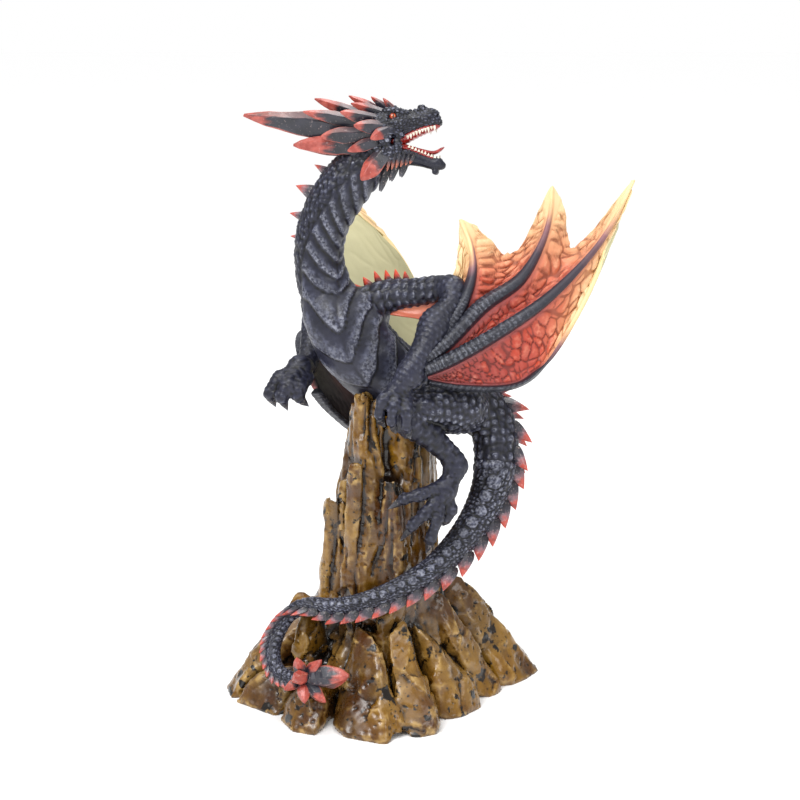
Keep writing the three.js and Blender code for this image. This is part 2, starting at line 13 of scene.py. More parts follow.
import bmesh
import bpy
import numpy as np
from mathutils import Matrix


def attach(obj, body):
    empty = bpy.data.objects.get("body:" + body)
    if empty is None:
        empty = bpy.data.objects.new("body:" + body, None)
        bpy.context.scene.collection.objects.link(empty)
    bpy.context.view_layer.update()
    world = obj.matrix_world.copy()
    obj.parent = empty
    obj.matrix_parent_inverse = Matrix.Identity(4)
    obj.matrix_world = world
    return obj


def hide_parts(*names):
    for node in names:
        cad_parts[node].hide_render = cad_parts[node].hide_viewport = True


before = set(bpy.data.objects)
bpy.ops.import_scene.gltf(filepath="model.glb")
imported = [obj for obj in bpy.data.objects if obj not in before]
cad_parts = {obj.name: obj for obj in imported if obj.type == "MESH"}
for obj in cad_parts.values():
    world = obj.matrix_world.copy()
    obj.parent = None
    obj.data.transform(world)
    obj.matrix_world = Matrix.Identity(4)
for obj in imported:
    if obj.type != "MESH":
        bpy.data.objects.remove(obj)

import openvdb
from mathutils import Euler, Vector

log = logging.getLogger("dragon")

Array = np.ndarray
Stations = Sequence[Sequence[Sequence[float]]]

MM = 0.001
FAR_AWAY = 6.0
BODY_NODE = "dragon"
ROCK_NODE = "rock_base"

# The body from the nape to the end of the tail.
# Each station: centre, [half width, half depth], direction of the back.
SPINE: Stations = [
    [[-1, -4, 275], [9.5, 10], [-0.8, 0, 0.6]],
    [[-17, -2, 258], [11, 12.5], [-0.85, 0.1, 0.5]],
    [[-28, 0, 238], [11.5, 12], [-0.92, 0.3, 0.25]],
    [[-30, 1, 221], [12, 12], [-0.8, 0.6, 0]],
    [[-26, 0, 204], [13.5, 13], [-0.6, 0.8, 0]],
    [[-19, -2, 189], [17, 17], [-0.2, 0.95, 0.2]],
    [[-8, -1, 175], [18.5, 18.5], [0.1, 0.9, 0.35]],
    [[4, 3, 164], [17.5, 17.5], [0.2, 0.8, 0.55]],
    [[18, 8, 156], [16, 16], [0.2, 0.75, 0.65]],
    [[34, 11, 151], [14, 14.5], [0.3, 0.6, 0.75]],
    [[47, 11, 146], [13.5, 13.5], [0.5, 0.5, 0.7]],
    [[56, 6, 137], [12, 12], [0.95, 0.25, 0.25]],
    [[58, 0, 121], [10.8, 10.8], [1, 0.05, 0]],
    [[54, -6, 103], [9.3, 9.3], [0.95, -0.1, -0.25]],
    [[44, -15, 87], [7.8, 7.8], [0.75, -0.35, -0.55]],
    [[28, -27, 73], [6.3, 6.3], [0.45, -0.5, -0.75]],
    [[11, -36, 65], [5.4, 5.4], [0.1, -0.55, -0.83]],
    [[-6, -39, 59], [4.6, 4.6], [0, -0.5, -0.87]],
    [[-22, -37, 55], [4.1, 4.1], [-0.1, -0.6, -0.8]],
    [[-36, -33, 54], [3.7, 3.7], [-0.35, -0.8, -0.2]],
    [[-45, -32, 49], [3.6, 3.6], [-0.6, -0.6, 0.4]],
    [[-51, -34, 40], [3.8, 3.8], [-0.9, -0.4, 0.1]],
    [[-53, -39, 32], [3.8, 3.8], [-0.9, -0.4, -0.1]],
    [[-50, -47, 25.5], [3.6, 3.6], [-0.7, -0.5, -0.5]],
    [[-43, -54, 24], [3.4, 3.4], [-0.3, -0.7, -0.6]],
    [[-35, -59, 26], [3.2, 3.2], [0, -0.7, -0.7]],
]
NEAR_ARM: Stations = [
    [[-8, 2, 192], [9, 10], [0, 0, 1]],
    [[-1, 2, 201], [8.5, 9], [0, 0, 1]],
    [[17, -4, 206], [6.5, 7], [0, 0, 1]],
    [[36, -12, 208], [5.5, 6.5], [0.3, 0, 1]],
    [[26, -23, 191], [6, 6.5], [0.8, 0, 0.6]],
    [[14, -32, 172], [4.6, 5], [0.8, 0, 0.5]],
    [[7, -33, 162], [4.5, 4.5], [0.8, 0, 0.4]],
]
FAR_ARM: Stations = [
    [[-18, 6, 190], [9, 10], [0, 0, 1]],
    [[-24, 22, 202], [7, 8], [0, 0, 1]],
    [[-26, 40, 210], [5.5, 6.5], [0, 0.4, 1]],
    [[-33, 28, 190], [6, 6.5], [-0.5, 0.6, 0.6]],
    [[-36, 9, 170], [5, 5.5], [-0.5, 0.6, 0.4]],
    [[-42, -1, 163], [5.5, 5], [-0.5, 0.2, 0.8]],
]
NEAR_LEG: Stations = [
    [[44, 2, 147], [12, 13], [0, -1, 0]],
    [[30, -14, 152], [11, 12], [0, -1, 0.2]],
    [[15, -24, 147], [8, 9], [0.3, -1, 0.5]],
    [[26, -25, 137], [6, 6.5], [0.8, -1, 0.2]],
    [[37, -25, 124], [5, 5.5], [1, -1, 0]],
    [[31, -30, 112], [4.8, 4.6], [0.4, -1, 0.3]],
]
FAR_LEG: Stations = [
    [[40, 18, 146], [12, 13], [0, 1, 0]],
    [[26, 32, 150], [9, 10], [0, 1, 0.2]],
    [[12, 38, 148], [7, 7.5], [0.3, 1, 0.5]],
    [[22, 38, 136], [5.5, 6], [0.8, 1, 0.2]],
    [[28, 36, 122], [4.6, 5], [1, 1, 0]],
    [[20, 37, 112], [4.6, 4.2], [0.4, 1, 0.3]],
]
# Digits: stations of a centre and a radius, the last one at the tip of the claw.
NEAR_HAND = [
    [[8, -33, 163, 3.4], [2, -38, 160, 3], [0, -38, 153, 2.2], [2, -34, 147, 0.6]],
    [[10, -34, 161, 3.4], [7, -40, 157, 3], [6, -40, 150, 2.2], [8, -35, 144, 0.6]],
    [[13, -34, 160, 3.4], [13, -40, 155, 3], [13, -40, 147, 2.2], [15, -35, 141, 0.6]],
]
FAR_HAND = [
    [[-41, -2, 166, 4.6], [-49, -8, 163, 4.2], [-54, -10, 156.5, 3.2], [-51.5, -9, 150.5, 0.6]],
    [[-40, -4, 165, 4.4], [-45, -12, 161, 4.2], [-48, -14, 156, 3.2], [-45.5, -13, 150, 0.6]],
    [[-37, -4, 163, 4.4], [-40, -12, 160, 4.0], [-40, -14, 156, 2.9], [-35.5, -12, 151.5, 0.6]],
]
NEAR_FOOT = [
    [[31, -30, 115, 3.6], [19, -36, 112, 3], [12, -36, 110, 2.6], [5, -33, 104, 0.5]],
    [[31, -31, 112, 3.6], [22, -37, 103, 3], [16, -37, 97, 2.6], [11, -34, 89, 0.5]],
    [[30, -31, 110, 3.6], [28, -36, 100, 3], [25, -36, 90, 2.6], [23, -33, 82, 0.5]],
    [[32, -30, 111, 3.4], [35, -31, 103, 2.8], [33, -31, 99, 2.2], [31, -31, 96, 0.5]],
]
FAR_FOOT = [
    [[20, 37, 112, 3.4], [10, 40, 110, 2.8], [3, 40, 106, 2.2], [-2, 37, 102, 0.5]],
    [[20, 38, 110, 3.4], [14, 41, 102, 2.8], [10, 41, 94, 2.2], [8, 38, 87, 0.5]],
    [[21, 38, 109, 3.4], [22, 41, 100, 2.8], [23, 40, 90, 2.2], [24, 37, 83, 0.5]],
]

# The head's own frame: +X out of the jaws, +Z through the brow.
HEAD_PLACE = (5, -6, 284)
HEAD_YAW = -9
HEAD_ROLL = -10
# Lofts of the head: distance forward, height of the centre, half height, half width.
SKULL = [
    [-14, 0, 7, 7], [-8, 2, 9, 9], [-2, 3, 8.5, 9.5], [4, 4.5, 7, 8],
    [9, 4, 6.2, 6], [14, 6, 5.5, 5], [19, 7, 4.8, 4.8], [23, 5.5, 2, 3],
]
JAW = [
    [-4, -9, 7, 8], [4, -10.5, 5, 7], [10, -11, 4.5, 5.5], [16, -12.5, 3.6, 4.5],
    [22, -14.3, 3.2, 4], [25, -15, 2.4, 3],
]
# Blades of the head, near side: root, tip, root width, widest, thickness, place of the widest.
HORN_BLADES = [
    [[-6, -3, -1], [-69, -10, 6.5], 15, 15, 7, 0.32],
    [[-8, -5, 3], [-40, -12, 8.5], 6, 6.5, 4, 0.6],
    [[-6, -3, 5], [-36, -5, 15], 6, 6, 4, 0.6],
    [[-8, -4, -6], [-45, -10, -7], 10, 9, 4.5, 0.6],
    [[-6, -6, -1], [-31, -13, -3], 6, 8, 4, 0.6],
    [[-3, -6, 5], [-22, -12, 8.5], 5, 6, 3.6, 0.6],
    [[0, -5, 8], [-18, -7, 13], 4.5, 5, 3.2, 0.6],
    [[-1, -2, 8], [-20, -3, 17], 4, 4.6, 3, 0.6],
    [[2, -6, 2], [-15, -14, 2], 6, 7, 3.4, 0.6],
    [[-2, -6, -3], [-18, -12, -10], 5, 6, 3.4, 0.6],
    [[3, -7, 2], [-7, -13, -4], 5, 6, 3, 0.6],
    [[-1, -6, -9], [-11, -12, -23.5], 7, 9.5, 5, 0.6],
    [[1, -2, 9], [-9, -3, 16.8], 3, 3.4, 2.4, 0.6],
    [[4, -3, 8], [-3, -4, 16], 2.6, 3, 2.2, 0.6],
]
# Small dark blades under the throat, near side.
THROAT_BLADES = [
    [[4, -2, -12], [1, -3, -23], 3, 3.6, 2.4, 0.5],
    [[8, -2, -12], [6, -2.6, -21], 3, 3.4, 2.4, 0.5],
    [[0, -2, -13], [-4, -2.5, -28], 3, 3.6, 2.4, 0.5],
]
TONGUE: Stations = [
    [[6, 0, -6], [3.4, 1.6], [0, 0, 1]],
    [[16, 0, -8.4], [3, 1.2], [0, 0, 1]],
    [[22, 0, -9], [2.4, 1], [-0.4, 0, 0.9]],
    [[26.5, 0, -6.4], [1, 0.7], [-0.8, 0, 0.5]],
]

# Blades of the tail's club, spread from one centre: tip, root width, widest, thickness.
CLUB_CENTRE = (-37, -58, 26)
CLUB_BLADES = [
    [[-15, -67, 31], 8, 12.5, 9],
    [[-40, -62, 38], 5, 6, 5],
    [[-28, -62, 37], 5, 6, 5],
    [[-36, -69, 18], 6, 7, 6.5],
    [[-26, -69, 18], 6, 6.5, 6.5],
    [[-46, -64, 22.5], 5, 5, 5],
    [[-40, -69, 31], 8, 8.5, 7],
]

# Fingers of the wings, from the wrist to the tip, lowest finger first, then the inner edge.
NEAR_FINGERS = [
    [[17, -31, 168], [40, -28, 163], [68, -21, 163], [82, -14, 173], [96, -8, 194], [107, -1, 216], [110, 1, 226]],
    [[17, -31, 171], [34, -29, 178], [57, -23, 190], [81, -12, 204], [103, -1, 224], [115, 7, 240], [125, 14, 259]],
    [[18, -30, 175], [32, -27, 186], [50, -20, 203], [68, -11, 214], [79, -3, 231], [83, 2, 244], [84, 6, 257]],
    [[19, -29, 179], [30, -24, 190], [40, -19, 204], [45, -13, 218], [44, -8, 230], [39, -4, 242]],
    [[18, -29, 180], [27, -21, 194], [36, -12, 207]],
]
FAR_FINGERS = [
    [[-36, 10, 158], [-24, 22, 138], [-2, 38, 118], [20, 50, 116], [31, 62, 140], [27, 73, 174], [10, 81, 211],
     [-14, 87, 233]],
    [[-37, 11, 162], [-35, 28, 164], [-32, 50, 180], [-30, 70, 204], [-26, 86, 230], [-24, 98, 255]],
    [[-38, 12, 166], [-38, 32, 168], [-38, 58, 176], [-38, 82, 186], [-38, 100, 202], [-36, 112, 220]],
    [[-38, 13, 169], [-40, 30, 172], [-41, 52, 172], [-41, 76, 168], [-40, 92, 168], [-38, 106, 174]],
    [[-37, 13, 170], [-32, 28, 190], [-26, 39, 208]],
]
# How far each free edge of a web is cut back between two tips.
WEB_SCALLOPS = (0, 0.32, 0.34, 0.04)
SCALLOP_POWER = 1.3
WRIST_REACH = 0.05

# Columns of the rock pillar: foot, its radius, top, its radius, height and turn of the six sides.
PILLAR_COLUMNS = [
    [(-5, -22), 20, (-5, -10), 8, 157, 0.3], [(-20, -8), 19, (-9, -6), 7, 152, 0.9],
    [(-21, 8), 17, (-6, 8), 9, 146, 0.1], [(12, -18), 18, (10, -7), 10, 146, 0.6],
    [(17, -2), 18, (17, 4), 12, 141, 0.2], [(6, 18), 23, (8, 15), 14, 145, 0.8],
    [(-23, -8), 15, (-20, -9), 8, 103, 0.5], [(-12, -26), 13, (-10, -20), 5, 124, 0.2],
    [(5, -27), 14, (6, -20), 6, 116, 0.7], [(19, -14), 15, (17, -10), 8, 106, 0.4],
    [(-14, 20), 15, (-12, 16), 6, 112, 0.3], [(24, 15), 15, (19, 14), 7, 98, 0.7],
]
# The low cone that the boulders stand against: foot radius, top radius, height, centre.
CORE = (56, 30, 40, (0, -2))
# Boulders around the foot: crest points, then toe points on the ground.
BOULDERS = [
    [[(-42, 4, 48), (-30, -8, 44)], [(-80, -8), (-76, -24), (-62, 16)]],
    [[(-40, -34, 24), (-28, -30, 34)], [(-75, -26), (-52, -45), (-60, -38)]],
    [[(-38, -54, 19), (-30, -44, 24)], [(-50, -48), (-43, -63), (-31, -68), (-26, -56)]],
    [[(-3, -50, 44), (-12, -38, 46)], [(-25, -54), (-17, -70), (4, -79), (16, -74)]],
    [[(4, -46, 43), (12, -38, 48)], [(6, -77), (28, -66), (31, -50)]],
    [[(26, -38, 37), (16, -32, 46)], [(29, -52), (41, -46), (52, -33), (53, -22)]],
    [[(31, -14, 55), (22, -16, 62)], [(50, -30), (60, -17), (66, -8)]],
    [[(42, 6, 56), (30, 4, 64)], [(65, -10), (76, 2), (83, 13), (82, 22)]],
    [[(40, 24, 44), (28, 20, 56)], [(80, 24), (70, 42), (56, 52)]],
    [[(20, 40, 46), (12, 28, 58)], [(53, 52), (38, 66), (18, 71)]],
    [[(-8, 42, 50), (-8, 28, 60)], [(18, 72), (-8, 77), (-28, 68)]],
    [[(-32, 28, 42), (-22, 20, 54)], [(-30, 67), (-54, 52), (-66, 32), (-64, 14)]],
    [[(-40, -26, 51), (-38, -20, 46)], [(-52, -34), (-32, -40), (-38, -14)]],
    [[(4, -33, 61), (0, -26, 64)], [(-12, -44), (14, -46), (10, -24)]],
]
BASE_INSET = 0.93
BASE_TOE = 9


# ---------------------------------------------------------------- numbers


def ramp(value: Array, low: float, high: float) -> Array:
    """Zero below low, one above high, and smooth between them."""
    share = np.clip((value - low) / (high - low), 0.0, 1.0)
    return share * share * (3.0 - 2.0 * share)


def unit(vectors: Array) -> Array:
    """The vectors at length one."""
    return vectors / np.maximum(np.linalg.norm(vectors, axis=-1, keepdims=True), 1e-9)


def scatter(cells: Array, seed: int) -> Array:
    """A repeatable random number for each whole-number cell.

    Args:
        cells: whole numbers in three columns.
        seed: another seed gives other numbers.

    Returns:
        One number from 0 to 1 for each row.
    """
    mixed = cells[..., 0] * 73856093 ^ cells[..., 1] * 19349663 ^ cells[..., 2] * 83492791 ^ (seed * 40503 + 977)
    for shift, factor in ((15, 739982445), (12, 695872825), (15, 1274126177)):
        mixed = ((mixed ^ (mixed >> shift)) * factor) & 0x7FFFFFFF
    return (mixed >> 7 & 0xFFFF) / 65535.0


def noise(points: Array, seed: int = 0) -> Array:
    """Smooth noise from -1 to 1, with features about one unit across."""
    base = np.floor(points).astype(np.int64)
    share = points - base
    share = share * share * (3.0 - 2.0 * share)
    total = np.zeros(len(points))
    for corner in np.ndindex(2, 2, 2):
        offset = np.array(corner)
        weight = np.prod(np.where(offset == 1, share, 1.0 - share), axis=1)
        total += weight * scatter(base + offset, seed)
    return total * 2.0 - 1.0


def rough(points: Array, octaves: int, seed: int = 0) -> Array:
    """Several octaves of noise, each half as strong as the last."""
    total = np.zeros(len(points))
    for octave in range(octaves):
        total += noise(points * 2.0**octave, seed + octave) * 0.5**octave
    return total


@dataclass
class Cells:
    """Where each point lies in a field of irregular cells."""

    near: Array
    next: Array
    chance: Array
    offset: Array

    @property
    def border(self) -> Array:
        """How far a point is from the border of its cell, in cell sizes."""
        return self.next - self.near


def cells(points: Array, seed: int = 0, jitter: float = 0.9) -> Cells:
    """Irregular cells about one unit across.

    Args:
        points: places in units of a cell.
        seed: another seed gives other cells.
        jitter: 0 for a square lattice, 1 for a fully irregular one.

    Returns:
        The distances to the nearest two centres, a number for each cell, and the way to its centre.
    """
    base = np.floor(points).astype(np.int64)
    near = np.full(len(points), 9.0)
    following = near.copy()
    chance = np.zeros(len(points))
    offset = np.zeros_like(points, dtype=float)
    for step in np.ndindex(3, 3, 3):
        cell = base + (np.array(step) - 1)
        centre = cell + 0.5
        for axis in range(3):
            centre[:, axis] += jitter * (scatter(cell, seed + 31 * axis + 7) - 0.5)
        away = points - centre
        distance = np.linalg.norm(away, axis=1)
        nearer = distance < near
        following = np.where(nearer, near, np.minimum(following, distance))
        near = np.where(nearer, distance, near)
        chance = np.where(nearer, scatter(cell, seed + 101), chance)
        offset = np.where(nearer[:, None], away, offset)
    return Cells(near, following, chance, offset)


def domes(points: Array, seed: int = 0, jitter: float = 0.75) -> Array:
    """Close-set round pebbles about one unit across, from 0 between them to 1 on top."""
    found = cells(points, seed, jitter)
    return ramp(found.border, 0.02, 0.35) * (1.0 - 0.55 * np.clip(found.near, 0, 1) ** 2)


def bricks(along: Array, around: Array, overlap: float = 0.5) -> Array:
    """Overlapping scales in staggered rows.

    Args:
        along: distance along the limb, in rows.
        around: distance around the limb, in scales.
        overlap: how much each scale rises towards its free end.

    Returns:
        The height, from 0 in the grooves to 1 on the free ends.
    """
    row = np.floor(along)
    inside = along - row
    across = (around + 0.5 * (row % 2)) % 1.0 * 2.0 - 1.0
    lip = 1.0 - 0.35 * across**2
    rise = np.clip(inside / lip, 0, 1.25)
    body = (1.0 - overlap) + overlap * np.clip(rise, 0, 1)
    end = ramp(1.0 - rise, -0.02, 0.16)
    return body * end * ramp(1.0 - np.abs(across), 0.0, 0.35)


class Path:
    """A smooth path through stations, with its half sizes and the direction of its back."""

    def __init__(self, stations: Stations) -> None:
        """Keeps the three columns of the stations as arrays."""
        self.centres = np.array([row[0] for row in stations], float)
        self.sizes = np.array([row[1] for row in stations], float)
        self.backs = np.array([row[2] for row in stations], float)
        self.last = len(stations) - 1

    def at(self, stations: Array) -> "Frames":
        """Every measure of the path at some stations."""
        station = np.atleast_1d(np.asarray(stations, float))
        centre = curve(self.centres, station)
        step = 1e-3
        ahead = curve(self.centres, np.minimum(station + step, self.last))
        behind = curve(self.centres, np.maximum(station - step, 0))
        along = unit(ahead - behind)
        side = unit(np.cross(along, curve(self.backs, station)))
        back = np.cross(side, along)
        size = curve(self.sizes, station)
        return Frames(centre, along, side, back, size[:, 0], size[:, 1])

    def spaced(self, start: float, end: float, pitch: float) -> Array:
        """Stations from start to end that are about pitch apart along the path."""
        fine = np.linspace(start, end, 400)
        way = np.concatenate([[0], np.cumsum(np.linalg.norm(np.diff(curve(self.centres, fine), axis=0), axis=1))])
        return np.interp(np.linspace(0, way[-1], max(2, round(way[-1] / pitch) + 1)), way, fine)

    def length_at(self, stations: Array) -> Array:
        """Distance along the path from its start to each station."""
        fine = np.linspace(0, self.last, 1200)
        way = np.concatenate([[0], np.cumsum(np.linalg.norm(np.diff(curve(self.centres, fine), axis=0), axis=1))])
        return np.interp(stations, fine, way)


@dataclass
class Frames:
    """Centres, directions and half sizes of a path at some stations."""

    centre: Array
    along: Array
    side: Array
    back: Array
    width: Array
    depth: Array


def curve(points: Array, stations: Array) -> Array:
    """Points of the centripetal spline through control points.

    Args:
        points: the control points.
        stations: places on the spline, where 0 is the first control point and 1 the second.

    Returns:
        One point for each station.
    """
    points = np.asarray(points, float)
    padded = np.vstack([2 * points[0] - points[1], points, 2 * points[-1] - points[-2]])
    station = np.clip(np.atleast_1d(stations), 0, len(points) - 1)
    index = np.minimum(np.floor(station).astype(int), len(points) - 2)
    share = (station - index)[:, None]
    p0, p1, p2, p3 = (padded[index + k] for k in range(4))
    gap = [np.linalg.norm(b - a, axis=1, keepdims=True) ** 0.5 for a, b in ((p0, p1), (p1, p2), (p2, p3))]
    middle = np.where(gap[1] < 1e-4, 1.0, gap[1])
    first = np.where(gap[0] < 1e-4, middle, gap[0])
    last = np.where(gap[2] < 1e-4, middle, gap[2])
    out = ((p1 - p0) / first - (p2 - p0) / (first + middle) + (p2 - p1) / middle) * middle
    into = ((p2 - p1) / middle - (p3 - p1) / (middle + last) + (p3 - p2) / last) * middle
    return (
        p1 + out * share + (3 * (p2 - p1) - 2 * out - into) * share**2 + (2 * (p1 - p2) + out + into) * share**3
    )


# ---------------------------------------------------------------- meshes


def normals_of(points: Array, faces: Array) -> Array:
    """The normal at each point, from the faces that meet there."""
    corners = points[faces]
    if faces.shape[1] == 4:
        flat = np.cross(corners[:, 2] - corners[:, 0], corners[:, 3] - corners[:, 1])
    else:
        flat = np.cross(corners[:, 1] - corners[:, 0], corners[:, 2] - corners[:, 0])
    total = np.zeros_like(points)
    for column in range(faces.shape[1]):
        for axis in range(3):
            total[:, axis] += np.bincount(faces[:, column], flat[:, axis], len(points))
    return unit(total)


def smoothed(values: Array, faces: Array, rounds: int) -> Array:
    """Values at the points of a mesh, averaged with their neighbours."""
    count = len(values)
    rows = np.concatenate([faces[:, k] for k in range(faces.shape[1])])
    cols = np.concatenate([faces[:, (k + 1) % faces.shape[1]] for k in range(faces.shape[1])])
    share = np.bincount(rows, minlength=count) + np.bincount(cols, minlength=count) + 1e-9
    table = values.reshape(count, -1).astype(float)
    for _ in range(rounds):
        total = np.zeros_like(table)
        for axis in range(table.shape[1]):
            total[:, axis] = np.bincount(rows, table[cols, axis], count) + np.bincount(cols, table[rows, axis], count)
        table = 0.5 * table + 0.5 * total / share[:, None]
    return table.reshape(values.shape)


def new_piece(
    name: str,
    points: Array,
    faces: Array,
    material: bpy.types.Material,
    layers: dict[str, Array] | None = None,
    smooth: bool = True,
) -> bpy.types.Object:
    """A mesh object from arrays.

    Args:
        name: the object's name.
        points: places in millimetres.
        faces: point numbers, three or four columns.
        material: its finish.
        layers: numbers at the points that the finish reads.
        smooth: whether the faces are shaded smooth.

    Returns:
        The object, riding on the figure's one body.
    """
    mesh = bpy.data.meshes.new(name)
    count, sides = faces.shape
    mesh.vertices.add(len(points))
    mesh.vertices.foreach_set("co", (np.asarray(points, float) * MM).astype(np.float32).ravel())
    mesh.loops.add(count * sides)
    mesh.loops.foreach_set("vertex_index", faces.astype(np.int32).ravel())
    mesh.polygons.add(count)
    mesh.polygons.foreach_set("loop_start", np.arange(0, count * sides, sides, dtype=np.int32))
    mesh.polygons.foreach_set("use_smooth", np.full(count, smooth))
    for key, values in (layers or {}).items():
        layer = mesh.attributes.new(key, "FLOAT", "POINT")
        layer.data.foreach_set("value", np.asarray(values, np.float32))
    mesh.update(calc_edges=True)
    mesh.validate()
    mesh.materials.append(material)
    made = bpy.data.objects.new(name, mesh)
    bpy.context.collection.objects.link(made)
    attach(made, "root")
    log.info("%s: %d faces", name, count)
    return made


def grid_faces(rows: int, columns: int, closed: bool, start: int = 0) -> Array:
    """Four-cornered faces over a grid of points, facing rows cross columns.

    Args:
        rows: rows of points.
        columns: points in a row.
        closed: whether the last column joins the first.
        start: number of the first point.

    Returns:
        Point numbers in four columns.
    """
    row, column = np.meshgrid(np.arange(rows - 1), np.arange(columns if closed else columns - 1), indexing="ij")
    beside = (column + 1) % columns
    corners = [row * columns + column, row * columns + beside, (row + 1) * columns + beside, (row + 1) * columns + column]
    return np.stack(corners, axis=-1).reshape(-1, 4) + start


def capped(points: Array, rows: int, columns: int) -> tuple[Array, Array]:
    """A closed tube from rings of points, with a pole in the middle of each end.

    Args:
        points: rings of points, ring after ring.
        rows: how many rings.
        columns: points in a ring.

    Returns:
        The points with the two poles added, and triangles and quads as four columns.
    """
    first, last = points[:columns].mean(axis=0), points[-columns:].mean(axis=0)
    faces = grid_faces(rows, columns, True)
    ring = np.arange(columns)
    beside = (ring + 1) % columns
    low = np.stack([np.full(columns, len(points)), beside, ring, ring], axis=1)
    tail = (rows - 1) * columns
    high = np.stack([np.full(columns, len(points) + 1), tail + ring, tail + beside, tail + beside], axis=1)
    return np.vstack([points, first, last]), np.vstack([faces, low, high])


def triangles(faces: Array) -> Array:
    """The same faces as triangles, without those that have collapsed."""
    halves = np.vstack([faces[:, [0, 1, 2]], faces[:, [0, 2, 3]]]) if faces.shape[1] == 4 else faces
    keep = (halves[:, 0] != halves[:, 1]) & (halves[:, 1] != halves[:, 2]) & (halves[:, 0] != halves[:, 2])
    return halves[keep]


def outward(points: Array, faces: Array) -> Array:
    """The faces of a closed mesh, turned round if they point in."""
    halves = triangles(faces)
    corners = points[halves]
    volume = np.einsum("ij,ij->i", corners[:, 0], np.cross(corners[:, 1], corners[:, 2])).sum()
    return faces[:, ::-1] if volume < 0 else faces


def hollow_of(points: Array, faces: Array, normals: Array, rounds: int, deep: float) -> Array:
    """How sunken each point lies, from 0 on ridges over 0.5 on flats to 1 in hollows deep millimetres down."""
    middle = smoothed(points, faces, rounds)
    return np.clip(0.5 + 0.5 * np.einsum("ij,ij->i", middle - points, normals) / deep, 0, 1)


